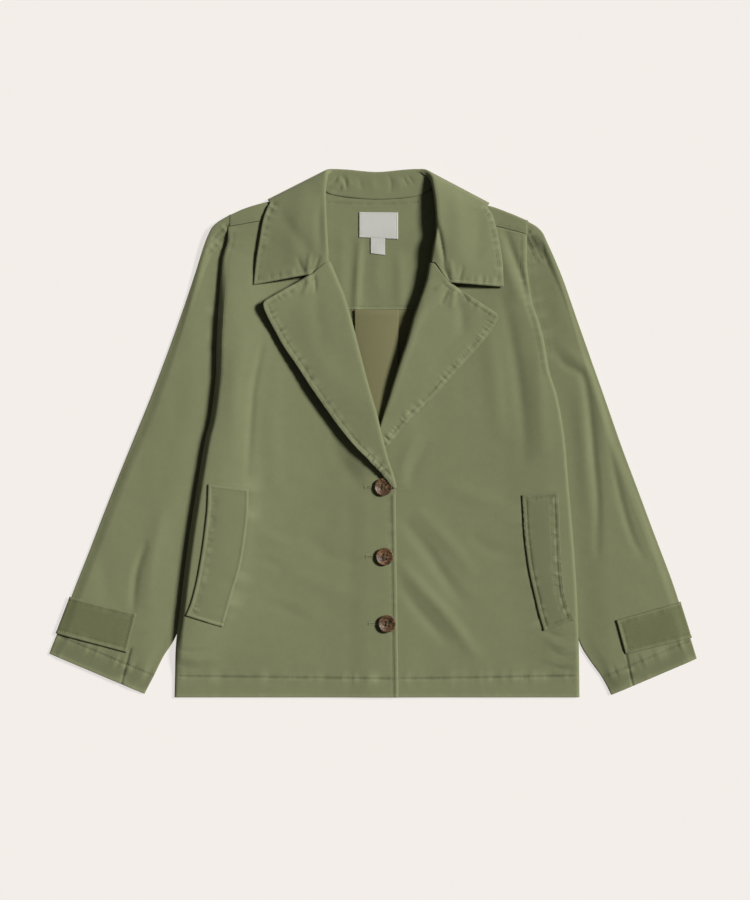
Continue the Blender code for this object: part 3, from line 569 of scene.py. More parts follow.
def beside(line, distance):
    """A line at a distance to the left of another, seen along it."""
    line = np.asarray(line)[:, :2]
    heading = unit(np.gradient(line, axis=0))
    return line + np.column_stack([-heading[:, 1], heading[:, 0]]) * distance


def nearest_pair(first, second):
    """Which points of two lines come nearest to each other."""
    gaps = np.linalg.norm(first[:, None] - second[None], axis=-1)
    return np.unravel_index(np.argmin(gaps), gaps.shape)


def round_corner(first, *others):
    """Lines joined, in turn, where each comes nearest to the one before."""
    for line in others:
        a, b = nearest_pair(first, line)
        first = np.concatenate([first[:a + 1], line[b:]])
    return first


def inside_corners(corners, distance):
    """A closed line at a distance inside a shape that is given by its sides, in turn."""
    line = round_corner(*(beside(side, distance) for side in corners))
    part = len(line) // 4
    a, b = nearest_pair(line[-part:], line[:part])
    return line[b:len(line) - part + a + 1]


def wander(at, seed, size):
    """A smooth uneven value between -1 and 1 along a line, that changes over a size."""
    count = 512
    values = np.random.default_rng(seed).uniform(-1, 1, count)
    place = np.asarray(at) / size + 17.0
    cell = np.floor(place).astype(int)
    return mix(values[cell % count], values[(cell + 1) % count], ease(place - cell))


def wander_over(x, y, seed, size):
    """The same over a surface."""
    count = 64
    values = np.random.default_rng(seed).uniform(-1, 1, (count, count))
    px, py = x / size + 31.3, y / size + 17.7
    cx, cy = np.floor(px).astype(int), np.floor(py).astype(int)
    column, next_column = cx % count, (cx + 1) % count
    low, high = (mix(values[column, row], values[next_column, row], ease(px - cx))
                 for row in (cy % count, (cy + 1) % count))
    return mix(low, high, ease(py - cy))


# Sewing: each line of topstitching draws the cloth in, so that it puckers beside the stitches.

SEWING = {}
# Painted shade: the cloth is coloured darker along the groove of each seam.
PAINTED_SEAM_SHADE = 0.6                 # how much darker the cloth is in a seam, per millimetre of its depth


def sew(piece, line, pucker=0.35, size=5.0, reach=5.0, stitched=True, groove=0.3, half=1.4, worn=0.0):
    """A line of topstitching on a piece: how high its puckers stand, how long and how far out.

    The line lies in a groove, which is painted darker as painted shade, or on a ridge if the groove is below
    0; worn is how far that is worn pale.
    """
    seams = SEWING.setdefault(piece, [])
    seams.append({"line": np.asarray(line)[:, :2], "pucker": pucker, "size": size, "reach": reach,
                  "stitched": stitched, "groove": groove, "half": half, "worn": worn,
                  "seed": 100 + 7 * len(SEWING) + len(seams)})


def sew_edge(piece, line_at, inset, pucker=0.45, size=4.5, reach=5.0, rim=0.5, worn=0.3, groove=0.5):
    """Topstitching along an edge, and the full rim between the two; line_at gives a line inside it."""
    sew(piece, line_at(inset), pucker, size, reach, groove=groove)
    sew(piece, line_at(inset * 0.42), 0.0, size, 2.5, False, groove=-rim, half=inset * 0.34, worn=worn)


def sewn(piece, x, y):
    """Height of the puckers of a piece, and how far it is worn pale, or, below 0, how much painted shade
    darkens it in a seam.
    """
    up, wear_and_painted_shade = np.zeros(x.shape), np.zeros(x.shape)
    for seam in SEWING.get(piece, []):
        away, way, _ = nearest(seam["line"], x, y, seam["reach"] * 2.5)
        near = np.exp(-(away / seam["reach"]) ** 2)
        long_waves = wander(way, seam["seed"], seam["size"])
        short_waves = wander(way, seam["seed"] + 50, seam["size"] * 0.6)
        waves = 0.7 * long_waves + 0.3 * short_waves
        line = np.exp(-(away / seam["half"]) ** 2)
        up += seam["pucker"] * waves * near - seam["groove"] * line
        wear_and_painted_shade += np.clip(waves, 0, 1) * near * min(1.0, seam["pucker"] * 1.6) + seam["worn"] * line
        # painted shade in the seam's groove, kept as marks below 0
        wear_and_painted_shade -= max(seam["groove"], 0.0) * line * PAINTED_SEAM_SHADE
    return up, wear_and_painted_shade


# The relief of each layer, over the plan

WAVES = (0.3, 46.0)             # height and size of the waviness that all cloth has, and of a finer one
FINE_WAVES = (0.14, 17.0)
SHOULDER_CALM = (172.0, 152.0)  # the back's creases fade towards the shoulders and the neck
NECK_CALM = (627.0, 617.0)
SLEEVE_CLEAR = 26.0             # how far from the body a sleeve's creases are full
SLEEVE_HEAD = (545.0, 563.0)    # heights between which they come back beside the shoulder
FOLD_CALM = 8.0                 # how far from the outer fold they are full
LAYER_SEEDS = {"front": 5, "lapel": 8, "collar": 12, "sleeve": 19, "yoke": 23, "back": 23, "stand": 31}


def creases(layer, x, y):
    """Height of the creases of a layer of cloth, over the plan."""
    up = np.zeros(x.shape)
    for name, height, half, points in CREASES:
        if name != layer:
            continue
        away, way, length = nearest(curve(points), x, y, half * 3)
        fade = np.sin(np.pi * np.clip(way / length, 0, 1)) ** 0.6
        up += height * np.exp(-(away / half) ** 2) * fade
    return up


def uneven(layer, x, y):
    """The creases of a layer, and the slight waviness that all cloth has."""
    seed = LAYER_SEEDS[layer.split("_")[0]]
    waves = WAVES[0] * wander_over(x, y, seed, WAVES[1])
    return creases(layer, x, y) + waves + FINE_WAVES[0] * wander_over(x, y, seed + 1, FINE_WAVES[1])


def front_relief(side, x, y):
    """Creases and puckers of a front, and the ridge in which the right one stands beside the sleeve."""
    own = uneven("front_" + side, x, y) + sewn("front_" + side, x, y)[0]
    if side == "left":
        return own
    past = inside_edge(x, y, side) - RIDGE_PLACE
    width = np.where(past < 0, RIDGE_OUTSIDE, RIDGE_INSIDE)
    along = rise(y, *RIDGE_BOTTOM) * rise(y, *RIDGE_TOP)
    return own + SIDE_RIDGE * along * np.exp(-(past / width) ** 2) * ease(past / RIDGE_PLACE + 1)


def front_top(x, y, side):
    """Middle of a front with its creases and puckers."""
    return front_height(x, y, side) + front_relief(side, x, y)


def sleeve_relief(side, x, y):
    """Creases and puckers of a sleeve's upper layer, which fade where it folds or is tucked in."""
    fold = np.column_stack([SLEEVE[side]["out_across"], SLEEVE[side]["out_up"]])
    away = nearest(fold, x, y, 30.0)[0]
    own = uneven("sleeve_" + side, x, y) + sewn("sleeve_" + side, x, y)[0]
    clear = ease(-inside_edge(x, y, side) / SLEEVE_CLEAR)
    return own * np.maximum(clear, 0.8 * rise(y, *SLEEVE_HEAD)) * ease(away / FOLD_CALM)


def lifted(layer, x, y):
    """Relief of a layer that lies on the floor: it only ever rises."""
    return np.maximum(uneven(layer, x, y) + 0.15, 0.0)


def back_relief(x, y):
    """Creases and puckers of the back and its yoke, which fade towards the neck and the shoulders."""
    own = lifted("back", x, y) + sewn("back_yoke", x, y)[0]
    return own * rise(y, *NECK_CALM) * rise(np.abs(x), *SHOULDER_CALM)


def lay(points, height_at):
    """Puts plan points (across, height) at the heights that height_at gives."""
    across, height = points[..., 0], points[..., 1]
    return np.stack([across, height, height_at(across, height)], axis=-1)


def normals(points):
    """Unit normals of a grid of points, rows by columns."""
    return unit(np.cross(np.gradient(points, axis=1), np.gradient(points, axis=0)))


def moved_out(points, distance):
    return points + normals(points) * distance


def half_turn(centre, outward, upward, reach, half, steps, crisp=1.0):
    """Points of a fold, from under its centre round its outside to above its centre."""
    angles = np.linspace(-math.pi / 2, math.pi / 2, steps)
    above = np.where(angles > 0, crisp, 1.0)
    wide = (np.cos(angles).clip(0) ** above)[:, None] * np.asarray(outward) * reach
    tall = (np.sign(angles) * np.abs(np.sin(angles)) ** above)[:, None] * np.asarray(upward) * half
    return np.asarray(centre) + wide + tall


# Pieces as grids of points, rows by columns

def roll_points(side, height):
    """Roll line of a lapel: its outside, its heading away from the lapel, and its row's values."""
    rolls = ROLL[side]
    step = 2.0
    drift = float(read(rolls, "across", height + step) - read(rolls, "across", height - step))
    heading = np.array([2 * step, -drift]) * INWARD[side]
    heading = heading / np.linalg.norm(heading)
    values = row_at(rolls, height)
    return np.array([values["across"], height]), heading, values


HEM_BAND = 30.0                 # up to this height a front's rows are closer
HEM_ROWS = 28
ROW_STEP = 2.3                  # from one row to the next, up to the gap under the break
BREAK_GAP = 1.5
LAPEL_ROWS = 170


def front_rows(side):
    """Heights of the rows of a front below the break, and along the lapel up to the gorge."""
    start, top = ROLL[side]["height"][[0, -1]]
    rows = round((start - HEM_BAND) / ROW_STEP)
    below = spaced((0.0, HEM_BAND, HEM_ROWS), (HEM_BAND, start - BREAK_GAP, rows))
    return list(below), list(np.linspace(start, top, LAPEL_ROWS))


FRONT_COLUMNS = spaced((0, 0.036, 8), (0.036, 0.94, 84), (0.94, 1.0, 12))
FOLD_STEPS = 14
FACING_START = 5                # the facing begins a little under the outside of the roll
UNDER_SHARES = np.linspace(0, 1, 17)[1:]
FACING_SHARES = np.concatenate([np.linspace(0, 0.88, 38)[1:-1], np.linspace(0.88, 1, 15)])
ROWS_ABOVE_GORGE = 30
SHOULDER_END = 590.0            # height at which the side edge's place gives the shoulder seam's end
ROLL_REACH = 5.0                # how far a lapel's fold bulges out at most
LAPEL_TIP = 5.0                 # radius to which a lapel's tip is turned


def knee_pull(depth, t):
    """How far a row is drawn down at the notch, at a share t of the way to its end."""
    return depth * np.minimum(t / KNEE, (1 - t) / (1 - KNEE))


def lapel_row(side, height, shares):
    """One row of a lapel: the fold at the roll line, then out to the lapel's edge."""
    outside, heading, row = roll_points(side, height)
    half = row["fold"] / 2
    reach = min(half, ROLL_REACH)
    base = outside - heading * (reach + CLOTH_WALL / 2)
    level = float(front_height(base[0], base[1], side))
    fold = half_turn((*base, level + half), (*heading, 0), (0, 0, 1), reach, half, FOLD_STEPS, 0.5)
    edge = np.array([row["edge_across"], row["edge_height"]])
    tip = np.array([ROLL[side][name][-1] for name in ("edge_across", "edge_height")])
    from_tip = np.hypot(*(edge - tip))
    short = LAPEL_TIP - math.sqrt(LAPEL_TIP ** 2 - max(LAPEL_TIP - from_tip, 0.0) ** 2)
    edge = edge + (base - edge) / np.linalg.norm(base - edge) * short
    plan = mix(base, edge, shares[:, None])
    plan[:, 1] += knee_pull(row["knee"], shares)
    taut = mix(level + row["fold"], front_height(edge[0], edge[1], side) + row["edge_lift"], shares)
    clear = front_height(plan[:, 0], plan[:, 1], side) + LAYER
    return np.concatenate([fold, np.column_stack([plan, np.maximum(taut, clear)])])


def lapel_grid(side, shares):
    """The lapel's under layer, with its creases and puckers."""
    grid = np.array([lapel_row(side, height, shares) for height in front_rows(side)[1]])
    x, y = grid[..., 0], grid[..., 1]
    beyond = np.concatenate([np.linspace(0, 1, FOLD_STEPS), np.ones(len(shares))])
    own = uneven("lapel_" + side, x, y) + sewn("facing_" + side, x, y)[0]
    grid[..., 2] += mix(front_relief(side, x, y), own, beyond)
    return grid


def front_grid(side):
    """A front with its lapel. Cells outside the cut are left out of the mask."""
    below, lapel = front_rows(side)
    neck, closing = NECK[side], CLOSING_EDGE[side]

    def at_side(height):
        return np.array([read(BODY, side + "_edge", height) + CLOTH_WALL / 2 * INWARD[side], height])

    rows = []
    for height in below:
        across = mix(closing["hem"], closing["break"], height / below[-1])
        rows.append((at_side(height), np.array([across, height]), None))
    for folded in lapel_grid(side, UNDER_SHARES):
        rows.append((at_side(folded[0, 1]), folded[0, :2], folded))
    side_start = rows[-1][0][1]
    side_end = read(SHOULDER_SEAM, "height", at_side(SHOULDER_END)[0]) - SEAM_GAP
    for t in np.linspace(0, 1, ROWS_ABOVE_GORGE + 1)[1:]:
        neck_height = mix(lapel[-1], neck["height"][-1] - SEAM_GAP, t)
        end = np.array([read(neck, "across", neck_height), neck_height])
        rows.append((at_side(mix(side_start, side_end, t)), end, None))
    last = len(FRONT_COLUMNS) - 1
    width = last + FOLD_STEPS + len(UNDER_SHARES)
    grid = np.zeros((len(rows), width, 3))
    for index, (start, end, folded) in enumerate(rows):
        plan = mix(start, end, FRONT_COLUMNS[:, None])
        if index == len(rows) - 1:
            plan[:, 1] = read(SHOULDER_SEAM, "height", plan[:, 0]) - SEAM_GAP
        grid[index, :last + 1] = lay(plan, lambda x, y: front_top(x, y, side))
        if folded is not None:
            grid[index, last:] = folded
    mask = np.ones((len(rows) - 1, width - 1), dtype=bool)
    mask[:len(below), last:] = False
    mask[len(below) + len(lapel) - 1:, last:] = False
    return grid, mask


def facing_grid(side):
    """The facing on a lapel: the lapel's own points, moved out past the roll line."""
    return moved_out(lapel_grid(side, FACING_SHARES), -LAYER * INWARD[side])[:, FACING_START:]


YOKE_SIDE = 36                  # columns of the yoke on each shoulder, and between them
YOKE_NECK = 56
ARC_STEPS = 12                  # rows round the yoke's shoulder folds, and from there to the forward seam
DOWN_STEPS = 12


def yoke_grid():
    """Back yoke: up the back, over the shoulder folds and down to the forward seam."""
    start, end = YOKE_TOP["across"][[0, -1]]
    right, left = ((place - start) / (end - start) for place in NECK_POINTS)
    fractions = spaced((0.0, right, YOKE_SIDE), (right, left, YOKE_NECK + 2), (left, 1.0, YOKE_SIDE))
    left_side = YOKE_SIDE + YOKE_NECK
    climb = spaced((0, 0.08, 10), (0.08, 0.9, 44), (0.9, 1, 12))
    top_row = len(climb) - 1
    total = top_row + ARC_STEPS + DOWN_STEPS
    grid = np.zeros((total, len(fractions), 3))
    mask = np.ones((total - 1, len(fractions) - 1), dtype=bool)
    mask[top_row:, YOKE_SIDE - 1:left_side] = False
    for column, fraction in enumerate(fractions):
        top = float(read(YOKE_TOP, "height", mix(start, end, fraction)))
        folded = column < YOKE_SIDE or column >= left_side
        height = mix(YOKE_SEAM, top - (LOFT + CLOTH_WALL) / 2 if folded else top, climb)
        across = mix(*wall_edges(height), fraction)
        grid[:top_row + 1, column] = lay(np.column_stack([across, height]), back_height)
        grid[:top_row + 1, column, 2] += back_relief(across, height)
        if not folded:
            continue
        side = "right" if column < YOKE_SIDE else "left"
        last = grid[top_row, column]
        half = (float(front_height(last[0], last[1], side)) - last[2]) / 2
        centre = (last[0], last[1], last[2] + half)
        arc = half_turn(centre, (0, 1, 0), (0, 0, 1), half, half, ARC_STEPS)
        grid[top_row:top_row + ARC_STEPS, column] = arc
        seam = float(read(SHOULDER_SEAM, "height", last[0]))
        down = mix(last[1], seam, np.linspace(0, 1, DOWN_STEPS + 1)[1:])
        plan = np.column_stack([np.full(DOWN_STEPS, last[0]), down])
        grid[-DOWN_STEPS:, column] = lay(plan, lambda x, y: front_height(x, y, side))
    return grid, mask


PLEAT_GAP = 1.4                 # from the pleat's middle to its inner folds
PLEAT_FOLD = 0.8                # how far its outer folds bulge out


def pleat_path():
    """The box pleat across the back, as (across, layers up) from its left to its right."""
    half = LAYER / 2
    path = []
    for across, layer, way in ((-PLEAT_GAP, 0, 1), (PLEAT_FOLD - PLEAT_HALF, 1, -1)):
        for turn in np.radians(np.linspace(-90, 90, 7)):
            path.append((across + way * half * math.cos(turn), layer * LAYER + half * (1 + math.sin(turn))))
    path.append((0.0, 2 * LAYER))
    return path + [(-across, up) for across, up in reversed(path[:-1])]


def back_grid():
    """Lower back, from the hem to the yoke seam, with its box pleat."""
    pleat = np.array(pleat_path())
    flat = np.linspace(0, 1, 46)[:-1]
    up = np.concatenate([np.zeros(len(flat)), pleat[:, 1], np.zeros(len(flat))])
    rows = []
    for height in np.linspace(0, YOKE_SEAM, 64):
        right, left = wall_edges(height)
        middle = PLEAT_CENTRE + pleat[:, 0]
        across = np.concatenate([mix(right, middle[0], flat), middle, mix(middle[-1], left, 1 - flat[::-1])])
        row = lay(np.column_stack([across, np.full(len(across), height)]), back_height)
        row[:, 2] += up + back_relief(row[:, 0], row[:, 1])
        rows.append(row)
    return np.array(rows)


SLEEVE_TUCK = 6.0               # how far the sleeve's inner fold goes in under the body, and how that ends
TUCKED_STATIONS = (6.5, 5.0)
HEAD_STATIONS = 3.2             # the head of a sleeve is lifted with the shoulder down to this station
HEAD_LAP = (2.6, 1.2)           # how far a sleeve goes in past the edge of the body, and at its head
SHOULDER_SHARES = (0.85, 0.97)  # shares of the way to the outer fold, over which the head is lifted
ARMHOLE_STATIONS = 0.8          # down to this station a sleeve follows the armhole seam, above its foot
ARMHOLE_BOTTOM = (UNDERARM - 14, UNDERARM + 8)
BODY_RAMP = 42.0                # how far from the body, the inner fold and the outer fold it is full
INNER_RAMP = 18.0
OUTER_RAMP = 14.0


def sleeve_layer(side, station, u, top):
    """Points of a sleeve's top or bottom layer, at shares u of the way from inner to outer fold."""
    sign = INWARD[side]
    row = row_at(SLEEVE[side], station)
    outer = np.array([row["out_across"], row["out_up"]])
    tucked = SLEEVE_TUCK * rise(station, *TUCKED_STATIONS)
    inner = np.array([row["in_across"] + tucked * sign, row["in_up"]])
    width = np.linalg.norm(outer - inner)
    plan = mix(inner, outer, u[:, None])
    near_shoulder = rise(u, *SHOULDER_SHARES)
    head = ease(1 - station / HEAD_STATIONS) * near_shoulder
    seam = read(BODY, side + "_edge", plan[:, 1]) + sign * mix(*HEAD_LAP, head)
    to_armhole = ease(1 - station / ARMHOLE_STATIONS) * rise(plan[:, 1], *ARMHOLE_BOTTOM)
    plan[:, 0] = mix(plan[:, 0], seam, to_armhole)
    limit = seam * sign + 2.0 * np.maximum(UNDERARM - plan[:, 1], 0.0)
    plan[:, 0] = np.minimum(plan[:, 0] * sign, limit) * sign
    up = FLOOR_LAYER + read(BODY, side + "_lift", UNDERARM) * head
    if top:
        clear = -inside_edge(plan[:, 0], plan[:, 1], side)
        full = ease(clear / BODY_RAMP) * ease(u * width / INNER_RAMP) * ease((1 - u) * width / OUTER_RAMP)
        up = up + mix(mix(row["inner"], row["full"], full), LOFT, ease(1 - station / 3.0) * near_shoulder)
    return np.column_stack([plan, up])


TOP_SHARES = spaced((0.012, 0.9, 92), (0.9, 0.992, 13))
BOTTOM_SHARES = np.linspace(0.992, 0.012, 26)


def sleeve_rings(side, stations):
    """The pressed tube of a sleeve, as rings that run round it."""
    rings = []
    for station in stations:
        top = sleeve_layer(side, station, TOP_SHARES, True)
        bottom = sleeve_layer(side, station, BOTTOM_SHARES, False)
        top[:, 2] += sleeve_relief(side, top[:, 0], top[:, 1])
        bottom[:, 2] += lifted("sleeve_" + side, bottom[:, 0], bottom[:, 1]) * 0.5
        rings.append(np.concatenate([top, end_fold(top[-1], bottom[0], top[-1] - top[-3]),
                                     bottom, end_fold(bottom[-1], top[0], top[0] - top[2])]))
    return np.array(rings)


def end_fold(start, end, heading):
    """Points round the folded side of a sleeve, from one layer to the other."""
    heading = np.array([heading[0], heading[1], 0.0])
    heading = heading / np.linalg.norm(heading)
    middle, half = (start + end) / 2, (start - end) / 2
    turns = np.radians(np.linspace(70, -70, 7))[:, None]
    return middle + heading * max(abs(half[2]), CLOTH_WALL) * np.cos(turns) + half * np.sin(turns)


NECK_LAP = 1.6                  # how far the stand is sewn onto the yoke, and how far it is let down there
NECK_DOWN = 0.3
COLLAR_CLEAR = 1.2              # clear height of the fall's edge above the front
COLLAR_REACH = 4.5              # how far the roll bulges out at most
COLLAR_MIDDLE = 9               # station at the middle of the back
GORGE_STATIONS = 0.7            # stations at either end, and shares of the way to the notch, that go in
GORGE_NOTCH = (1.15, 0.75)      # under the lapel
COLLAR_STAND = 12               # columns of the stand, of the roll and of the fall
COLLAR_FOLD = 14
COLLAR_FALL = 46


def in_front(station):
    """1 along the collar's leaves in front, 0 round the back of the neck."""
    return 1 - rise(station, 4.5, 6.0) * rise(station, 13.5, 12.0)


def collar_row(station):
    """One row of the collar, from the neck seam up the stand, over the roll and down the fall."""
    row = row_at(COLLAR, station)
    half = "right" if station < COLLAR_MIDDLE else "left"
    front = in_front(station)
    out, side = math.radians(row["out"]), math.radians(row["side"])
    outward = np.array([math.cos(out), math.sin(out), 0.0])
    across = np.array([-math.sin(out), math.cos(out), 0.0]) * INWARD[half]
    toward = across * math.cos(side) + np.array([0, 0, math.sin(side)])
    reach = min(row["fold"], COLLAR_REACH)
    centre = np.array([row["roll_x"], row["roll_y"], row["roll_z"]]) - outward * (reach + DOUBLE_WALL / 2)
    fold = half_turn(centre, outward, toward, reach, row["fold"], COLLAR_FOLD, mix(1.0, 0.5, front))
    sewn_on = 1 - front
    neck = np.array([row["neck_x"], row["neck_y"] - NECK_LAP * sewn_on, row["neck_z"] - NECK_DOWN * sewn_on])
    under = float(front_height(row["edge_x"], row["edge_y"], half)) + COLLAR_CLEAR
    edge = np.array([row["edge_x"], row["edge_y"], row["edge_z"] + under * row["over"]])
    t = np.linspace(0, 1, COLLAR_FALL + 1)[1:]
    fall = mix(fold[-1], edge, t[:, None])
    fall[:, 1] += knee_pull(row["knee"], t)
    whole = np.concatenate([mix(neck, fold[0], np.linspace(0, 1, COLLAR_STAND + 1)[:-1, None]), fold, fall])
    before_notch = np.concatenate([np.zeros(COLLAR_STAND + COLLAR_FOLD), t])
    from_end = min(station, 2 * COLLAR_MIDDLE - station)
    whole[:, 1] -= GORGE_LAP * ease(1 - from_end / GORGE_STATIONS) * rise(before_notch / KNEE, *GORGE_NOTCH)
    return whole


def collar_grid():
    """Collar: rows run round the neck, columns from the neck seam over the roll to the free edge."""
    stations = spaced((0, 4, 45), (4, 8, 65), (8, 10, 65), (10, 14, 65), (14, 18, 45))
    grid = np.array([collar_row(station) for station in stations])
    x, y = grid[..., 0], grid[..., 1]
    back = (rise(stations, 5.0, 6.6) * rise(stations, 13.0, 11.4))[:, None]
    turned = np.concatenate([np.zeros(COLLAR_STAND), np.linspace(0, 1, COLLAR_FOLD), np.ones(COLLAR_FALL)])
    half = np.where(stations < COLLAR_MIDDLE, 1.0, 0.0)[:, None]
    leaf = mix(uneven("collar_left", x, y), uneven("collar_right", x, y), half) + sewn("collar", x, y)[0]
    grid[..., 2] += leaf * (1 - back) * turned + uneven("stand", x, y) * back * (1 - turned)
    return grid


WELT_SEAT = 0.15                # clear space under the welts, under the tabs and under the labels
TAB_SEAT = 0.2
LABEL_SEAT = 0.4
TAB_TURN = (1.4, 0.9)           # how far out and down a tab turns over the sleeve's fold
LABEL_ASKEW = (1.8, 0.5)        # how much lower a label's left end hangs, at its foot and all over


def welt_grid(side):
    """A pocket welt on its front, moved out from the front's own height."""
    welt = WELT[side]
    t = spaced((0, 0.16, 13), (0.16, 0.84, 22), (0.84, 1, 13))
    rows = []
    for at in spaced((0, 0.32, 11), (0.32, 5.68, 116), (5.68, 6, 11)):
        inner = np.array([read(welt, "inner_x", at), read(welt, "inner_y", at)])
        outer = np.array([read(welt, "outer_x", at), read(welt, "outer_y", at)])
        rows.append(lay(mix(inner, outer, t[:, None]), lambda x, y: front_height(x, y, side)))
    grid = np.array(rows)
    x, y = grid[..., 0], grid[..., 1]
    own = front_relief(side, x, y) + sewn("pocket_welt_" + side, x, y)[0]
    grid[..., 2] += CLOTH_WALL / 2 + WELT_SEAT + DOUBLE_WALL / 2 + own
    return grid


def tab_grid(side):
    """A cuff tab on its sleeve, from its free end to the sleeve's outer fold, where it turns down."""
    thin, full = SLEEVE[side]["inner"][-2], SLEEVE[side]["full"][-2]
    along = np.linspace(0, 1, 60)
    rows = []
    for at in np.linspace(0, 1, 34):
        row = row_at(TAB[side], at)
        root, free = np.array([row["root_x"], row["root_y"]]), np.array([row["free_x"], row["free_y"]])
        length = np.linalg.norm(root - free)
        up = FLOOR_LAYER + mix(thin, full, ease((1 - along) * length / OUTER_RAMP))
        last = np.append(root + (root - free) / length * TAB_TURN[0], up[-1] - TAB_TURN[1])
        rows.append(np.vstack([np.column_stack([mix(free, root, along[:, None]), up]), last]))
    grid = moved_out(np.array(rows), (CLOTH_WALL / 2 + TAB_SEAT + DOUBLE_WALL / 2) * INWARD[side])
    x, y = grid[..., 0], grid[..., 1]
    grid[..., 2] += sleeve_relief(side, x, y) + sewn("cuff_tab_" + side, x, y)[0]
    return grid


def label_grid(bounds):
    """A label on the yoke, sewn on a little askew."""
    start, end, bottom, top = bounds
    share = np.linspace(0, 1, 40)
    rows = []
    for height in np.linspace(bottom, top, 30):
        askew = LABEL_ASKEW[0] * share * (top - height) / (top - bottom) + LABEL_ASKEW[1] * share
        rows.append(lay(np.column_stack([mix(start, end, share), height - askew]), back_height))
    grid = np.array(rows)
    x, y = grid[..., 0], grid[..., 1]
    own = back_relief(x, y) + sewn("neck_label", x, y)[0]
    grid[..., 2] += CLOTH_WALL / 2 + LABEL_SEAT + LABEL_WALL / 2 + own
    return grid


# Making the pieces

def in_metres(points):
    """From the garment's millimetres to the object's own frame."""
    points = np.asarray(points, dtype=float)
    return (points - np.array([0.0, JACKET_LENGTH / 2, 0.0])) * MM


def place_in_scene(name, data):
    thing = bpy.data.objects.new(name, data)
    bpy.context.scene.collection.objects.link(thing)
    return thing


def make_piece(name, vertices, faces, material, node=None, slot="twill", wear_and_painted_shade=None):
    mesh = bpy.data.meshes.new(name)
    mesh.from_pydata(in_metres(vertices).tolist(), [], faces)
    mesh.update()
    mesh.shade_smooth()
    if wear_and_painted_shade is not None:
        # wear above 0 and painted seam shade below 0
        mark = mesh.attributes.new("wear_and_painted_shade", "FLOAT", "POINT")
        mark.data.foreach_set("value", np.asarray(wear_and_painted_shade, dtype=np.float32))
    mesh.materials.append(material)
    piece = place_in_scene(name, mesh)
    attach(piece, "root")
    if node:
        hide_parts(node)
    return piece


RIM_DRAW = 0.3                  # how far a wall's faces stop before its rim, as a share of the wall
RIM_WORN = 0.15                 # how much paler a rim is rubbed


def grid_faces(count, width, mask, closed):
    """Four-sided faces between the points of a grid; a closed one runs round, as a tube."""
    row, column = np.meshgrid(np.arange(count - 1), np.arange(width if closed else width - 1), indexing="ij")
    if mask is not None:
        row, column = row[mask], column[mask]
    row, column = row.ravel(), column.ravel()
    after = (column + 1) % width
    return np.column_stack([row * width + column, row * width + after,
                            (row + 1) * width + after, (row + 1) * width + column])


def shell(name, grid, wall, material, mask=None, closed=False, flip=False, slot="twill", wear_and_painted_shade=None):
    """A wall of cloth round a grid of points, with rounded rims."""
    quads = grid_faces(*grid.shape[:2], mask, closed)
    if flip:
        quads = quads[:, ::-1]
    used, quads = np.unique(quads, return_inverse=True)
    quads = quads.reshape(-1, 4)
    points = grid.reshape(-1, 3)[used]
    marks = np.zeros(len(points)) if wear_and_painted_shade is None else np.clip(wear_and_painted_shade.reshape(-1)[used], -1, 1)
    face_normal = np.cross(points[quads[:, 2]] - points[quads[:, 0]],
                           points[quads[:, 3]] - points[quads[:, 1]])
    normal = np.zeros_like(points)
    for corner in range(4):
        np.add.at(normal, quads[:, corner], face_normal)
    normal = unit(normal)
    edges = np.concatenate([quads[:, [k, (k + 1) % 4]] for k in range(4)])
    _, first, times = np.unique(np.sort(edges, axis=1), axis=0, return_index=True, return_counts=True)
    rim = edges[first[times == 1]]
    a, b = rim.T
    outward = np.zeros_like(points)
    for end in (a, b):
        np.add.at(outward, end, np.cross(points[b] - points[a], normal[end]))
    drawn_in = points - unit(outward) * wall * RIM_DRAW
    rims = np.unique(rim)
    total = len(points)
    place = np.zeros(total, dtype=int)
    place[rims] = 2 * total + np.arange(len(rims))
    vertices = np.concatenate([drawn_in + normal * wall / 2, drawn_in - normal * wall / 2, points[rims]])
    vertices[:, 2] = np.maximum(vertices[:, 2], 0.0)
    faces = np.concatenate([quads, quads[:, ::-1] + total, np.column_stack([b, a, place[a], place[b]]),
                            np.column_stack([place[b], place[a], a + total, b + total])])
    marks = np.concatenate([marks, marks, marks[rims] + RIM_WORN])
    return make_piece(name, vertices, faces.tolist(), material, name, slot, marks)


STITCH = 3.2                    # from one stitch to the next
STITCH_LENGTH = 2.3
THREAD = 0.4                    # half the thread's width
STITCH_SIDES = 5
STITCH_STEP = 1.2               # no stitch goes over a higher step
# Rings of a stitch: their place along it, their girth, and how far they stand up
STITCH_RINGS = [(-0.5, 0.25, -0.35), (-0.38, 0.8, 0.05), (0.0, 1.0, 0.2), (0.38, 0.8, 0.05),
                (0.5, 0.25, -0.35)]


def tube_faces(rings, sides):
    """Faces round a row of rings, and at both of its ends."""
    faces = [tuple(range(sides))[::-1]]
    for ring in range(rings - 1):
        for side in range(sides):
            here, after = ring * sides + side, ring * sides + (side + 1) % sides
            faces.append((here, after, after + sides, here + sides))
    faces.append(tuple((rings - 1) * sides + side for side in range(sides)))
    return faces


def joined(parts):
    """Several (vertices, faces) pairs as one."""
    vertices, faces = [], []
    for more_vertices, more_faces in parts:
        first = len(vertices)
        vertices += list(more_vertices)
        faces += [tuple(first + corner for corner in face) for face in more_faces]
    return vertices, faces


def stitch(low, high, normal, turn):
    """One stitch on the cloth, from one place to another, turned a little out of line."""
    middle = (low + high) / 2 + np.array([0.0, JACKET_LENGTH / 2, 0.0])
    along = (high - low) / max(np.linalg.norm(high - low), 1e-9)
    over = np.cross(normal, along)
    along = along + over * turn
    vertices = []
    for share, girth, up in STITCH_RINGS:
        centre = middle + along * share * STITCH_LENGTH + normal * (up * THREAD * 2)
        for angle in 2 * math.pi * np.arange(STITCH_SIDES) / STITCH_SIDES:
            spoke = over * math.cos(angle) + normal * math.sin(angle) * 0.8
            vertices.append(centre + spoke * THREAD * girth)
    return vertices, tube_faces(len(STITCH_RINGS), STITCH_SIDES)


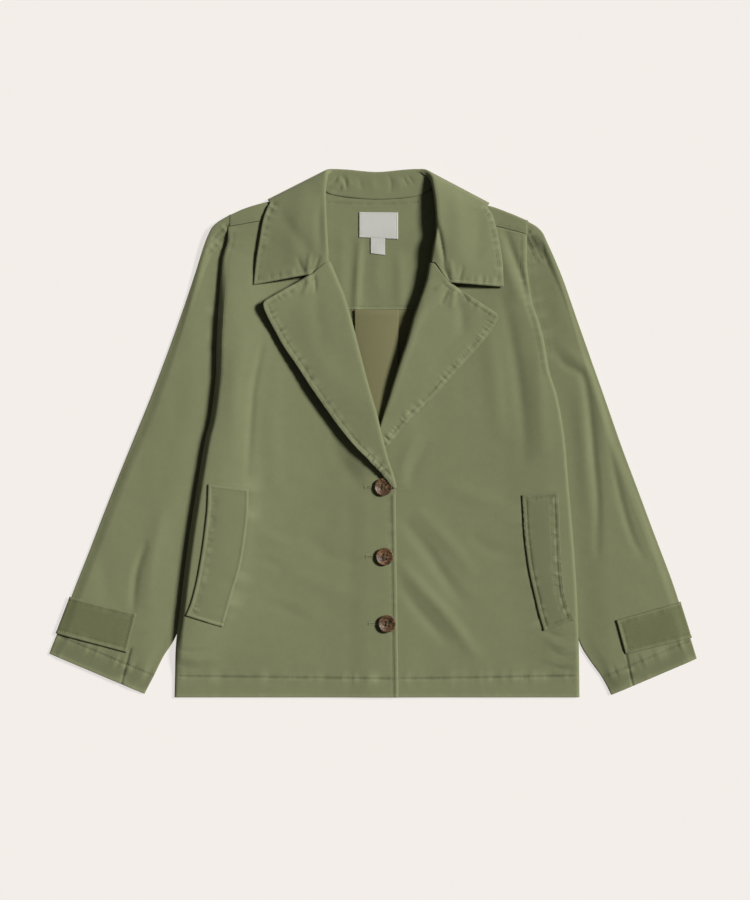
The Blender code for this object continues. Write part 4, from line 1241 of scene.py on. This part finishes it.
def add_stitches(name, seams, on):
    """Stitches on a piece along its lines of topstitching, each a short length of thread."""
    mesh = on.data
    tree = BVHTree.FromPolygons([vertex.co.copy() for vertex in mesh.vertices],
                                [tuple(face.vertices) for face in mesh.polygons])
    stitches = []
    rng = np.random.default_rng(len(name) + 11)
    for seam in [seam for seam in seams if seam["stitched"]]:
        for place, heading in zip(*evenly(seam["line"], STITCH)):
            ends = []
            for side in (-1, 1):
                plan = place + heading * side * STITCH_LENGTH * 0.4
                above = Vector(in_metres([plan[0], plan[1], 60.0]))
                ends.append(tree.ray_cast(above, Vector((0, 0, -1))))
            if any(end[0] is None for end in ends) or abs(ends[0][0].z - ends[1][0].z) > STITCH_STEP * MM:
                continue
            normal = np.array(ends[0][1] + ends[1][1])
            normal = normal / max(np.linalg.norm(normal), 1e-9) * (1 if normal[2] > 0 else -1)
            low, high = (np.array(end[0]) / MM for end in ends)
            stitches.append(stitch(low, high, normal, rng.uniform(-0.12, 0.12)))
    vertices, faces = joined(stitches)
    sewn_with = label_white if mesh.materials[0] == label_white else thread
    return make_piece(name, vertices, faces, sewn_with, wear_and_painted_shade=np.zeros(len(vertices)))


# Finishes

def fill(tree, node, inputs):
    """Gives each named input its value, or links it to a (node, output) pair; _ stands for a space."""
    for name, value in inputs.items():
        socket = node.inputs[name.replace("_", " ")]
        if isinstance(value, tuple) and isinstance(value[0], bpy.types.Node):
            tree.links.new(value[0].outputs[value[1]], socket)
        else:
            socket.default_value = value


def add_node(tree, kind, settings=None, **inputs):
    node = tree.nodes.new("ShaderNode" + kind)
    for name, value in (settings or {}).items():
        setattr(node, name, value)
    fill(tree, node, inputs)
    return node


def calculate(tree, operation, first, second=None, clamp=False):
    """A sum on two values, each a number or a (node, output) pair; it gives back such a pair."""
    node = tree.nodes.new("ShaderNodeMath")
    node.operation, node.use_clamp = operation, clamp
    for socket, value in zip(node.inputs, (first, second)):
        if isinstance(value, tuple):
            tree.links.new(value[0].outputs[value[1]], socket)
        elif value is not None:
            socket.default_value = value
    return node, 0


def blend(tree, amount, first, second):
    """Two colours mixed by an amount, as a (node, output) pair."""
    return add_node(tree, "Mix", {"data_type": "RGBA"}, Factor=amount, A=first, B=second), "Result"


def new_group(name, colours, values, outputs):
    """A node group with colour inputs, number inputs that have a value, and named kinds of output."""
    group = bpy.data.node_groups.new(name, "ShaderNodeTree")
    for label in colours:
        group.interface.new_socket(name=label, in_out="INPUT", socket_type="NodeSocketColor")
    for label, value in values.items():
        socket = group.interface.new_socket(name=label, in_out="INPUT", socket_type="NodeSocketFloat")
        socket.default_value = value
    for label, kind in outputs.items():
        group.interface.new_socket(name=label, in_out="OUTPUT", socket_type="NodeSocket" + kind)
    return group, group.nodes.new("NodeGroupInput"), group.nodes.new("NodeGroupOutput")


WALES = 1450.0                  # diagonal wales of the twill in a metre


def twill_weave():
    """Diagonal wales crossed by the yarns, with slubs: a height and a shade, both about 0 to 1."""
    group, start, end = new_group("twill weave", [], {"Grain": 0.0, "Wales": WALES, "Slubs": 0.35},
                                  {"Height": "Float", "Shade": "Float"})
    place = add_node(group, "TexCoord")
    turn = add_node(group, "VectorRotate", {"rotation_type": "Z_AXIS"},
                    Vector=(place, "Object"), Angle=(start, "Grain"))
    cut = add_node(group, "SeparateXYZ", Vector=(turn, "Vector"))
    slope = calculate(group, "MULTIPLY", (cut, "Y"), 0.62)
    across = calculate(group, "ADD", (cut, "X"), slope)

    def ridges(way, turns, height):
        wave = calculate(group, "MULTIPLY", way, (start, "Wales"))
        wave = calculate(group, "MULTIPLY", wave, 2 * math.pi * turns)
        return calculate(group, "MULTIPLY", calculate(group, "SINE", wave), height)

    stretch = add_node(group, "VectorMath", {"operation": "MULTIPLY"}, Vector=(turn, "Vector"))
    stretch.inputs[1].default_value = (3.0, 0.5, 1.0)
    slubs = add_node(group, "TexNoise", Vector=(stretch, "Vector"), Scale=420.0, Detail=2.0)
    both = calculate(group, "ADD", ridges(across, 1.0, 0.3), ridges((cut, "Y"), 1.6, 0.12))
    rough = calculate(group, "MULTIPLY", (slubs, "Fac"), (start, "Slubs"))
    height = calculate(group, "ADD", calculate(group, "ADD", both, rough), 0.35)
    fill(group, end, {"Height": height, "Shade": (slubs, "Fac")})
    return group


def cloth_colouring():
    """Cloth colour: uneven dye over the piece, slubs, painted shade in the grooves of the seams, and paler
    where the seams wear it.
    """
    group, start, end = new_group("cloth colouring", ["Dye", "Pale", "Deep", "Dull"],
                                  {"Slub": 0.5, "Rubbing": 0.5}, {"Color": "Color"})
    place = (add_node(group, "TexCoord"), "Object")
    clouds = add_node(group, "TexNoise", Vector=place, Scale=9.0, Detail=4.0, Roughness=0.6)
    spread = add_node(group, "MapRange", Value=(clouds, "Fac"), From_Min=0.3, From_Max=0.7)
    blotches = add_node(group, "TexNoise", Vector=place, Scale=95.0, Detail=5.0, Roughness=0.7)
    amount = calculate(group, "ADD", calculate(group, "MULTIPLY", (spread, "Result"), 0.22),
                       calculate(group, "MULTIPLY", (blotches, "Fac"), 0.55))
    dyed = blend(group, amount, (start, "Dye"), (start, "Deep"))
    slubbed = blend(group, calculate(group, "MULTIPLY", (start, "Slub"), 0.16), dyed, (start, "Pale"))
    marks = (add_node(group, "Attribute", {"attribute_name": "wear_and_painted_shade"}), "Fac")
    # marks below 0 are painted shade: they mix the colour towards the darker seam shade
    painted_shade = calculate(group, "MULTIPLY", marks, -1.0, clamp=True)
    shaded_colour = blend(group, painted_shade, slubbed, (start, "Dull"))
    fleck = add_node(group, "TexNoise", Vector=place, Scale=160.0, Detail=3.0)
    # only the marks above 0, the wear, make it paler
    wear_and_painted_shade = calculate(group, "MULTIPLY", marks, calculate(group, "ADD", (fleck, "Fac"), 0.35))
    wear_and_painted_shade = calculate(group, "MULTIPLY", wear_and_painted_shade, (start, "Rubbing"), clamp=True)
    fill(group, end, {"Color": blend(group, wear_and_painted_shade, shaded_colour, (start, "Pale"))})
    return group


WEAVE = twill_weave()
COLOURING = cloth_colouring()


def new_material(name, **inputs):
    """A material, its tree and its shader with these inputs."""
    material = bpy.data.materials.new(name)
    material.use_nodes = True
    tree = material.node_tree
    shader = tree.nodes["Principled BSDF"]
    fill(tree, shader, inputs)
    return material, tree, shader


def solid(colour):
    """A colour without transparency."""
    return (*colour, 1.0)


def cloth_finish(name, dye, pale, deep, grain=0.0, wales=WALES, relief=0.00012):
    """Woven cloth in three shades of a colour; the grain turns its wales."""
    material, tree, shader = new_material(name, Sheen_Weight=0.12, Sheen_Roughness=0.5,
                                          Specular_IOR_Level=0.25)
    weave = add_node(tree, "Group", {"node_tree": WEAVE}, Grain=grain, Wales=wales)
    # colour of the painted shade in the seams
    painted_shade = [0.45 * value for value in deep]
    worn = add_node(tree, "Group", {"node_tree": COLOURING}, Dye=solid(dye), Pale=solid(pale), Deep=solid(deep),
                    Dull=solid(painted_shade), Slub=(weave, "Shade"))
    rough = add_node(tree, "MapRange", Value=(weave, "Height"), To_Min=0.92, To_Max=0.78)
    bump = add_node(tree, "Bump", Height=(weave, "Height"), Strength=0.8, Distance=relief)
    fill(tree, shader, {"Base Color": (worn, "Color"), "Roughness": (rough, "Result"),
                        "Normal": (bump, "Normal")})
    return material


def tortoise_finish():
    """Polished tortoise: dark brown with amber clouds and streaks."""
    material, tree, shader = new_material("tortoise", Coat_Weight=0.12, Coat_Roughness=0.4)
    place = add_node(tree, "TexCoord")
    stretch = add_node(tree, "Mapping", Vector=(place, "Object"), Rotation=(0.3, 0.2, 0.7),
                       Scale=(1.0, 2.2, 1.4))
    clouds = add_node(tree, "TexNoise", Vector=(stretch, "Vector"), Scale=150.0, Detail=4.0, Distortion=1.6)
    ramp = add_node(tree, "ValToRGB", Fac=(clouds, "Fac"))
    stops = [(0.3, (0.025, 0.013, 0.008)), (0.7, (0.26, 0.15, 0.065)), (0.45, (0.065, 0.032, 0.015)),
             (0.56, (0.13, 0.068, 0.028))]
    for element, (position, colour) in zip(ramp.color_ramp.elements, stops[:2]):
        element.position, element.color = position, solid(colour)
    for position, colour in stops[2:]:
        ramp.color_ramp.elements.new(position).color = solid(colour)
    rough = add_node(tree, "MapRange", Value=(clouds, "Fac"), To_Min=0.55, To_Max=0.38)
    fill(tree, shader, {"Base Color": (ramp, "Color"), "Roughness": (rough, "Result")})
    return material


TWILL = (0.209, 0.228, 0.117)
TAB_TWILL = (0.118, 0.129, 0.052)
WELT_TWILL = (0.172, 0.188, 0.095)
TWILL_INSIDE = (0.168, 0.166, 0.072)
SHADES = ((0.36, 0.37, 0.22), (0.15, 0.165, 0.08))      # where the twill is rubbed pale, and where it is deep
THREAD_GREEN = (0.3, 0.32, 0.17)
LABEL_WHITE = (0.52, 0.52, 0.49)


def twill_finish(name, dye=TWILL, grain=0.0):
    return cloth_finish(name, dye, *SHADES, grain)


twill = twill_finish("sage twill")
sleeve_twill = {side: twill_finish("sage twill sleeve " + side, grain=0.4 * INWARD[side]) for side in INWARD}
lapel_twill = {side: twill_finish("sage twill lapel " + side, grain=-0.6 * INWARD[side]) for side in INWARD}
cross_twill = twill_finish("sage twill across", grain=1.5)
tab_twill = twill_finish("sage twill tab", TAB_TWILL, 1.5)
welt_twill = twill_finish("sage twill welt", WELT_TWILL)
inside = cloth_finish("twill inside", TWILL_INSIDE, (0.36, 0.35, 0.2), (0.18, 0.17, 0.085))
label_white = cloth_finish("label weave", LABEL_WHITE, (0.85, 0.85, 0.8), (0.6, 0.6, 0.57),
                           wales=2600.0, relief=0.00006)
thread = cloth_finish("sewing thread", THREAD_GREEN, SHADES[0], TWILL, wales=4000.0, relief=0.00005)
slit_shade = cloth_finish("slit shade", (0.09, 0.1, 0.05), (0.12, 0.12, 0.07), (0.07, 0.07, 0.04))
button_thread = cloth_finish("button thread", (0.12, 0.12, 0.07), (0.2, 0.2, 0.12), (0.08, 0.08, 0.05),
                             wales=4000.0)
tortoise = tortoise_finish()


# The lines of topstitching

TURNED_EDGE = (3.6, 4.5, 0.2, 0.35, 0.35)   # size, reach, rim, worn and groove of lapel and collar edges
HEM = curve([(-250, 26.5), (-90, 24.5), (30, 23.4), (130, 24.6), (260, 27)])


def part_of(line, low, high):
    """The part of a line whose places across lie between two values."""
    return line[(line[:, 0] > low) & (line[:, 0] < high)]


def body_line(side, low, high, inset):
    """A line beside the armhole seam of a front, between two heights."""
    heights = np.linspace(low, high, 40)
    return np.column_stack([read(BODY, side + "_edge", heights) + inset * INWARD[side], heights])


def closing_line(inset):
    """A line inside the closing edge of the right front, up to its break."""
    edge = CLOSING_EDGE["right"]
    return curve([(edge["hem"] - inset, 0), (edge["break"] - inset, 252)])


def columns(source, x, y):
    """Plan points from two columns of a table."""
    return np.column_stack([source[x], source[y]])


sew("front_right", HEM, 0.5, 6.0, 9.0, False)
sew("front_left", HEM, 0.5, 6.0, 9.0, False)
SEWING["front_left"][-1]["seed"] = SEWING["front_right"][-1]["seed"]
sew("front_right", part_of(HEM, -246, 25), 0.5, 4.0, 4.0, groove=0.8)
sew("front_left", part_of(HEM, 36, 256), 0.5, 4.0, 4.0, groove=0.8)
for piece, low, high in (("front_right", -246, 30), ("front_left", 34, 256)):
    sew(piece, curve([(low, 2.0), (high, 2.0)]), 0.2, 8.0, 4.0, False, -0.3, 1.6, 0.3)
sew_edge("front_right", closing_line, 6.0, 0.2, 5.0, 4.0, 0.8)
sew("front_right", curve([(18.5, 252), (19.0, 222), (19.6, 194)]), 0.2, 5.0, 5.0)
sew("front_right", body_line("right", 404, 582, 8.0), 0.3, 5.0, 6.0)
sew("front_left", body_line("left", 404, 574, 8.0), 0.3, 5.0, 6.0)
for side, inward in INWARD.items():
    welt = "pocket_welt_" + side
    inner, outer = (columns(WELT[side], name + "_x", name + "_y") for name in ("inner", "outer"))
    ends = [curve([inner[0], outer[0]]), curve([inner[-1], outer[-1]])]
    rim = [curve(inner), ends[1], curve(outer[::-1]), ends[0][::-1]]
    sew_edge(welt, lambda inset: inside_corners(rim, inset * inward), 5.0, 0.5, 4.0, 3.5, 0.7, 0.5, 0.7)
    sew(welt, beside(curve(outer), -8.0 * inward)[4:-4], 0.9, 4.0, 3.5, False, 0.0)
    sew(welt, beside(ends[1], -9.0 * inward)[2:-2], 0.3, 4.0, 3.0, groove=0.8)
    sew("front_" + side, curve(inner), 0.45, 11.0, 14.0, False)
sew("pocket_welt_left", beside(curve(outer), 9.5)[4:-4], 0.1, 4.5, 3.0)
for side, inward in INWARD.items():
    (top_root, low_root), (top_free, low_free) = (columns(TAB[side], name + "_x", name + "_y")
                                                  for name in ("root", "free"))
    rim = [curve(ends) for ends in ((top_root, top_free), (top_free, low_free), (low_free, low_root))]
    sew_edge("cuff_tab_" + side, lambda inset: round_corner(*(beside(line, -inset * inward) for line in rim)),
             5.0, 0.3, 5.0, 4.0, 0.9, 0.5)
for side, inward in INWARD.items():
    sleeve = "sleeve_" + side
    cuff = curve([columns(SLEEVE[side], fold + "_across", fold + "_up")[-1] for fold in ("out", "in")])
    sew(sleeve, beside(cuff, 25.0 * inward), 0.7, 5.0, 8.0, groove=0.7)
    # a wide shallow trough over the cuff, which the painted seam shade makes darker all over the band
    sew(sleeve, beside(cuff, 13.0 * inward), 0.0, 6.0, 14.0, False, 0.45, 15.0)
    sew(sleeve, beside(cuff, 2.0 * inward), 0.25, 7.0, 5.0, False, -0.3, 1.6, 0.3)
    sew(sleeve, body_line(side, 430, 560, -5.0), 0.5, 7.0, 9.0, False)
sew("sleeve_right", curve([(-303, 60), (-315, 16)]), 0.5, 6.0, 5.0, False, 1.3, 1.5)
sew("sleeve_left", curve([(316, 56), (325, 14)]), 0.5, 6.0, 5.0, False, 1.3, 1.5)
heads = {"right": [(-183, 589), (-197, 575), (-210, 561)], "left": [(195, 582), (204, 565), (212, 547)]}
for side, inward in INWARD.items():
    sew("sleeve_" + side, curve(heads[side]), 1.5, 4.0, 4.5, groove=0.9)
    sew("sleeve_" + side, beside(curve(heads[side]), 7.0 * inward), 1.2, 4.5, 4.0, groove=0.7)
for side, inward in INWARD.items():
    heights = front_rows(side)[1]
    edge = np.array([lapel_row(side, height, np.array([1.0]))[-1, :2] for height in heights])
    top = lapel_row(side, heights[-1], np.linspace(0, 1, 40))[FOLD_STEPS + 8:, :2]
    sew_edge("facing_" + side, lambda inset: round_corner(
        beside(edge, -inset * inward)[3:], beside(top, inset * inward)[::-1]), 6.0, 1.2, *TURNED_EDGE)
low = beside(edge, 7.5)
sew("facing_left", low[(low[:, 1] > 322) & (low[:, 1] < 366)], 1.8, 2.2, 4.0, False, 0.0)
sew("back_yoke", curve([(-60, YOKE_SEAM + 3.5), (60, YOKE_SEAM + 3.5)]), 0.25, 5.0, 3.0, groove=0.4)
sew("back_yoke", curve([(-60, YOKE_SEAM + 1.2), (60, YOKE_SEAM + 1.2)]), 0.0, 5.0, 3.0, False, -0.6, 1.3, 0.4)
sew("back_yoke", curve([(-56, 619.5), (-20, 617.6), (30, 617.6), (56, 620.0)]), 0.25, 5.0, 3.0, groove=0.4)
shoulder = columns(SHOULDER_SEAM, "across", "height") + (0.0, 4.0)
for strip in (shoulder[:3], shoulder[3:]):
    sew("back_yoke", curve(strip), 0.25, 5.0, 4.0)
start, end, bottom, top = NECK_LABEL
for points in ([(start + 1.6, top - 1), (start + 1.6, bottom + 1)],
               [(end - 1.6, top - 1.5), (end - 1.6, bottom - 1)],
               [(start + 2, top - 1.8), (end - 2, top - 2.2)]):
    sew("neck_label", curve(points), 0.12, 4.0, 2.5, groove=0.2, half=0.8)
leaf = collar_grid()
for rows, outward in ((leaf[:60], -1.0), (leaf[:-61:-1], 1.0)):
    rim = [rows[0, COLLAR_STAND + COLLAR_FOLD + 6:], rows[:, -1]]
    sew_edge("collar", lambda inset: round_corner(*(beside(line, inset * outward) for line in rim)),
             6.0, 1.1, *TURNED_EDGE)


# Cloth

cloth = {}


def add_cloth(name, grid, wall, material, **form):
    """A piece of cloth, with the marks that its seams leave on it."""
    wear_and_painted_shade = sewn(name, grid[..., 0], grid[..., 1])[1]
    cloth[name] = shell(name, grid, wall, material, wear_and_painted_shade=wear_and_painted_shade, **form)


yoke, yoke_mask = yoke_grid()
add_cloth("back_yoke", yoke, CLOTH_WALL, cross_twill, mask=yoke_mask, flip=True)
add_cloth("back_panel", back_grid(), CLOTH_WALL, inside)
SLEEVE_STATIONS = spaced((0, 3, 70), (3, 11, 126), (11, 12, 36))
for side in INWARD:
    turned = side == "left"
    front, front_mask = front_grid(side)
    add_cloth("front_" + side, front, CLOTH_WALL, twill, mask=front_mask, flip=turned)
    add_cloth("facing_" + side, facing_grid(side), CLOTH_WALL, lapel_twill[side], flip=turned)
    sleeve = sleeve_rings(side, SLEEVE_STATIONS)
    add_cloth("sleeve_" + side, sleeve, CLOTH_WALL, sleeve_twill[side], closed=True)
    add_cloth("cuff_tab_" + side, tab_grid(side), DOUBLE_WALL, tab_twill)
    add_cloth("pocket_welt_" + side, welt_grid(side), DOUBLE_WALL, welt_twill, flip=not turned)
add_cloth("collar", collar_grid(), DOUBLE_WALL, cross_twill)
for name, bounds in (("neck_label", NECK_LABEL), ("size_tab", SIZE_TAB)):
    cloth[name] = shell(name, label_grid(bounds), LABEL_WALL, label_white, slot="label")
sewing = {name: add_stitches("stitches_" + name, seams, cloth[name]) for name, seams in SEWING.items()}


BUTTON_STEPS = 72
EYE_RADIUS = 1.15               # the four eyes of a button, and how far out they lie
EYE_PLACE = 2.5
EYE_TURN = math.radians(38)     # the way the row of eyes was turned when it was sewn on
RIM_ROUND = 0.9                 # radius of the rim's outer edge
BUTTON_THREAD = 0.36            # half the width of the threads of buttons and buttonholes


def lathe(profile, centre, steps=BUTTON_STEPS):
    """Points and faces of a turned shape from its (radius, height) profile, closed at both ends."""
    turns = 2 * math.pi * np.arange(steps) / steps
    vertices = [(centre[0] + radius * math.cos(turn), centre[1] + radius * math.sin(turn), centre[2] + up)
                for radius, up in profile for turn in turns]
    return vertices, tube_faces(len(profile), steps)


def without(piece, cutter):
    """Cuts one mesh out of another, and takes the cutter away."""
    cut = piece.modifiers.new("cut", "BOOLEAN")
    cut.object, cut.solver = cutter, "EXACT"
    shaped = bpy.data.meshes.new_from_object(piece.evaluated_get(bpy.context.evaluated_depsgraph_get()))
    piece.modifiers.clear()
    piece.data = shaped
    bpy.data.objects.remove(cutter)


def tube_between(start, end, bow, steps=5, sides=5):
    """A thread from one point to another that bows up between them."""
    start, end = np.array(start, dtype=float), np.array(end, dtype=float)
    heading = (end - start) / np.linalg.norm(end - start)
    over = np.cross([0, 0, 1.0], heading)
    over = over / np.linalg.norm(over)
    vertices = []
    for share in np.linspace(0, 1, steps):
        centre = mix(start, end, share) + np.array([0, 0, bow * math.sin(math.pi * share) ** 0.6])
        for angle in 2 * math.pi * np.arange(sides) / sides:
            spoke = over * math.cos(angle) + np.array([0, 0, math.sin(angle)])
            vertices.append(tuple(centre + BUTTON_THREAD * spoke))
    return vertices, tube_faces(steps, sides)


def button_profile():
    """Half section of a button: flat underneath, a round rim, and a ringed dish."""
    reach, thick = BUTTON_RADIUS, BUTTON_THICKNESS
    under = [(0.4, 0.0), (reach * 0.8, 0.0), (reach - 0.4, 0.35), (reach, 1.0)]
    rim = [(reach - RIM_ROUND * (1 - math.cos(turn)), thick - RIM_ROUND * (1 - math.sin(turn)))
           for turn in np.linspace(0, math.pi / 2, 6)]
    inner = reach - BUTTON_RIM
    dish = [(inner, 0.02), (inner - 0.5, 0.45), (inner - 1.0, 0.62), (reach - 3.6, 0.55), (reach - 4.1, 0.85),
            (reach - 4.6, 1.0), (reach * 0.3, 1.3), (0.4, 1.35)]
    return under + rim + [(radius, thick - down) for radius, down in dish]


def add_button(name, across, height):
    """A turned button with a raised rim, a ringed dish and four eyes, and the thread that holds it."""
    turns = np.linspace(0, 2 * math.pi, 16)
    round_it = across + BUTTON_RADIUS * np.cos(turns), height + BUTTON_RADIUS * np.sin(turns)
    base = float(np.max(front_top(*round_it, "right"))) + CLOTH_WALL / 2 + BUTTON_SHANK
    button = make_piece(name, *lathe(button_profile(), (across, height, base)), tortoise, name, "button")
    eyes = [(across + EYE_PLACE * math.cos(turn), height + EYE_PLACE * math.sin(turn))
            for turn in EYE_TURN + np.arange(4) * math.pi / 2]
    drill = [(EYE_RADIUS, -0.5), (EYE_RADIUS, BUTTON_THICKNESS + 1)]
    vertices, faces = joined([lathe(drill, (*eye, base), 16) for eye in eyes])
    mesh = bpy.data.meshes.new("drill")
    mesh.from_pydata(in_metres(vertices).tolist(), [], faces)
    without(button, place_in_scene("drill", mesh))
    strands = [lathe([(1.9, -BUTTON_SHANK - 0.6), (1.5, 0.0), (1.9, 0.4)], (across, height, base), 16)]
    for pair in (eyes[:2], eyes[2:]):
        start, end = (np.array([*eye, base + BUTTON_THICKNESS - 1.7]) for eye in pair)
        way = (end - start) / np.linalg.norm(end - start)
        for offset in (-0.45, 0.45):
            shift = np.array([-way[1], way[0], 0]) * offset
            strands.append(tube_between(start + shift, end + shift, 1.0, 14, 8))
    make_piece("sewn_" + name, *joined(strands), button_thread)


BUTTONHOLE = 26.0               # from end to end, and how far past the button's middle it starts
BUTTONHOLE_START = 4.0
SATIN = 0.75                    # from one of its threads to the next
SLIT_RINGS = 24


def front_surface(x, y):
    """Height of the right front's upper surface at one place."""
    return float(front_top(np.array([x]), np.array([y]), "right")[0]) + CLOTH_WALL / 2


def add_buttonhole(name, across, height):
    """A buttonhole: a slit between two rows of close threads, with a bar at its end."""
    last = across + BUTTONHOLE_START
    first = last - BUTTONHOLE
    rng = np.random.default_rng(int(height))
    satin = []
    for row in (-1, 1):
        for x in np.arange(first, last, SATIN):
            inner, outer = height + row * 0.25, height + row * (1.75 + rng.uniform(-0.12, 0.12))
            start = (x, inner, front_surface(x, inner) + 0.1)
            end = (x + 0.15, outer, front_surface(x, outer) - 0.1)
            satin.append(tube_between(start, end, 0.35))
    for y in height + np.arange(-1.7, 1.8, 0.6):
        up = front_surface(first, y)
        satin.append(tube_between((first - 1.6, y, up), (first + 0.3, y, up), 0.4))
    slit = [(x, height + y, front_surface(x, height) + raised) for x in np.linspace(first, last, SLIT_RINGS)
            for y, raised in ((-0.5, -0.2), (0.5, -0.2), (0.5, 0.12), (-0.5, 0.12))]
    return [make_piece("buttonhole_" + name, *joined(satin), thread),
            make_piece("slit_" + name, slit, tube_faces(SLIT_RINGS, 4), slit_shade)]


buttonholes = []
for name, (across, height) in BUTTONS.items():
    add_button("button_" + name, across, height)
    buttonholes += add_buttonhole(name, across, height)


# Width and length that each piece is cut to, its flat area in square metres, and what it lies on
SHEETS = {
    "back_yoke": (0.40, 0.20, 0.0583, ["floor"]),
    "back_panel": (0.615, 0.485, 0.2779, ["floor", "sleeve_right", "sleeve_left"]),
    "front_right": (0.30, 0.61, 0.1515, ["back_panel", "front_left"]),
    "front_left": (0.28, 0.60, 0.1420, ["back_panel"]),
    "facing_right": (0.10, 0.30, 0.0197, ["front_right"]),
    "facing_left": (0.10, 0.26, 0.0160, ["front_left"]),
    "sleeve_right": (0.45, 0.60, 0.1120, ["floor"]),
    "sleeve_left": (0.44, 0.585, 0.0995, ["floor"]),
    "cuff_tab_right": (0.096, 0.050, 0.0047, ["sleeve_right"]),
    "cuff_tab_left": (0.090, 0.048, 0.0042, ["sleeve_left"]),
    "pocket_welt_right": (0.050, 0.179, 0.0088, ["front_right"]),
    "pocket_welt_left": (0.045, 0.175, 0.0072, ["front_left"]),
    "collar": (0.49, 0.125, 0.0420, ["back_yoke", "front_right", "front_left"]),
    "neck_label": (0.0488, 0.0316, 0.00154, ["back_yoke"]),
    "size_tab": (0.018, 0.0193, 0.000347, ["back_yoke"]),
}
for name, (width, length, area, under) in SHEETS.items():
    on_it = [sewing[name]] if name in sewing else []
    if name == "front_right":
        on_it += buttonholes


# Floor, light and camera

FLOOR_HALF = 60.0               # metres
FLOOR_DROP = 0.2                # how far the floor lies below the cloth; its shaded part lies half as far
SHADE_INSET = 5.0               # how far inside the cloth's outline that part ends
SHADE_TOP = 575.0
SUN_AROUND = math.radians(20)   # the light's heading from +X, and its height
SUN_UP = math.radians(41)
CAMERA_PLACE = (0.0025, -0.0216, 2.662)


def shaded_part():
    """Outlines on the floor a little inside the body and the sleeves, where no light reaches it."""
    right, left = (columns(BODY, side + "_edge", "height") + (SHADE_INSET * INWARD[side], SHADE_INSET)
                   for side in INWARD)
    outlines = [np.minimum(np.concatenate([right, left[::-1]]), [np.inf, SHADE_TOP])]
    for side in INWARD:
        outer, inner = (columns(SLEEVE[side], fold + "_across", fold + "_up") for fold in ("out", "in"))
        inset = (SHADE_INSET / np.linalg.norm(outer - inner, axis=1))[:, None]
        outside, under_body = mix(outer, inner, 4 * inset)[3:-1], mix(inner, outer, inset)[3:-1]
        outlines.append(np.concatenate([outside, under_body[::-1]]))
    return outlines


floor_points = [(x, y, -FLOOR_DROP * MM) for x, y in ((-FLOOR_HALF, -FLOOR_HALF), (FLOOR_HALF, -FLOOR_HALF),
                                                      (FLOOR_HALF, FLOOR_HALF), (-FLOOR_HALF, FLOOR_HALF))]
floor_faces = [(0, 1, 2, 3)]
for outline in shaded_part():
    first = len(floor_points)
    floor_points += in_metres([(x, y, -FLOOR_DROP / 2) for x, y in outline]).tolist()
    floor_faces.append(tuple(range(first, len(floor_points))))
floor_mesh = bpy.data.meshes.new("floor")
floor_mesh.from_pydata(floor_points, [], floor_faces)
floor_mesh.materials.append(new_material(
    "floor paper", Base_Color=solid((0.2, 0.19, 0.18)), Roughness=0.95, Specular_IOR_Level=0.0,
    Emission_Color=solid((0.888, 0.847, 0.815)), Emission_Strength=0.8)[0])
floor_mesh.materials.append(new_material(
    "floor in shade", Base_Color=solid((0.1, 0.1, 0.09)), Roughness=0.95)[0])
for face in floor_mesh.polygons[1:]:
    face.material_index = 1
place_in_scene("floor", floor_mesh)

light = bpy.data.lights.new("key light", "SUN")
light.energy = 4.2
light.angle = math.radians(13)
light.color = (1.0, 0.985, 0.96)
sun = place_in_scene("key light", light)
sun.rotation_mode = "QUATERNION"
level = math.cos(SUN_UP)
toward_sun = Vector((math.cos(SUN_AROUND) * level, math.sin(SUN_AROUND) * level, math.sin(SUN_UP)))
sun.rotation_quaternion = toward_sun.to_track_quat("Z", "Y")
world = bpy.data.worlds.new("studio")
world.use_nodes = True
backdrop = world.node_tree.nodes["Background"]
fill(world.node_tree, backdrop, {"Color": solid((1.0, 0.99, 0.97)), "Strength": 0.06})
bpy.context.scene.world = world
bpy.context.scene.view_settings.view_transform = "Standard"

lens = bpy.data.cameras.new("camera")
lens.lens = 85.0
lens.sensor_width = 36.0
camera = place_in_scene("camera", lens)
camera.location = CAMERA_PLACE
bpy.context.scene.camera = camera
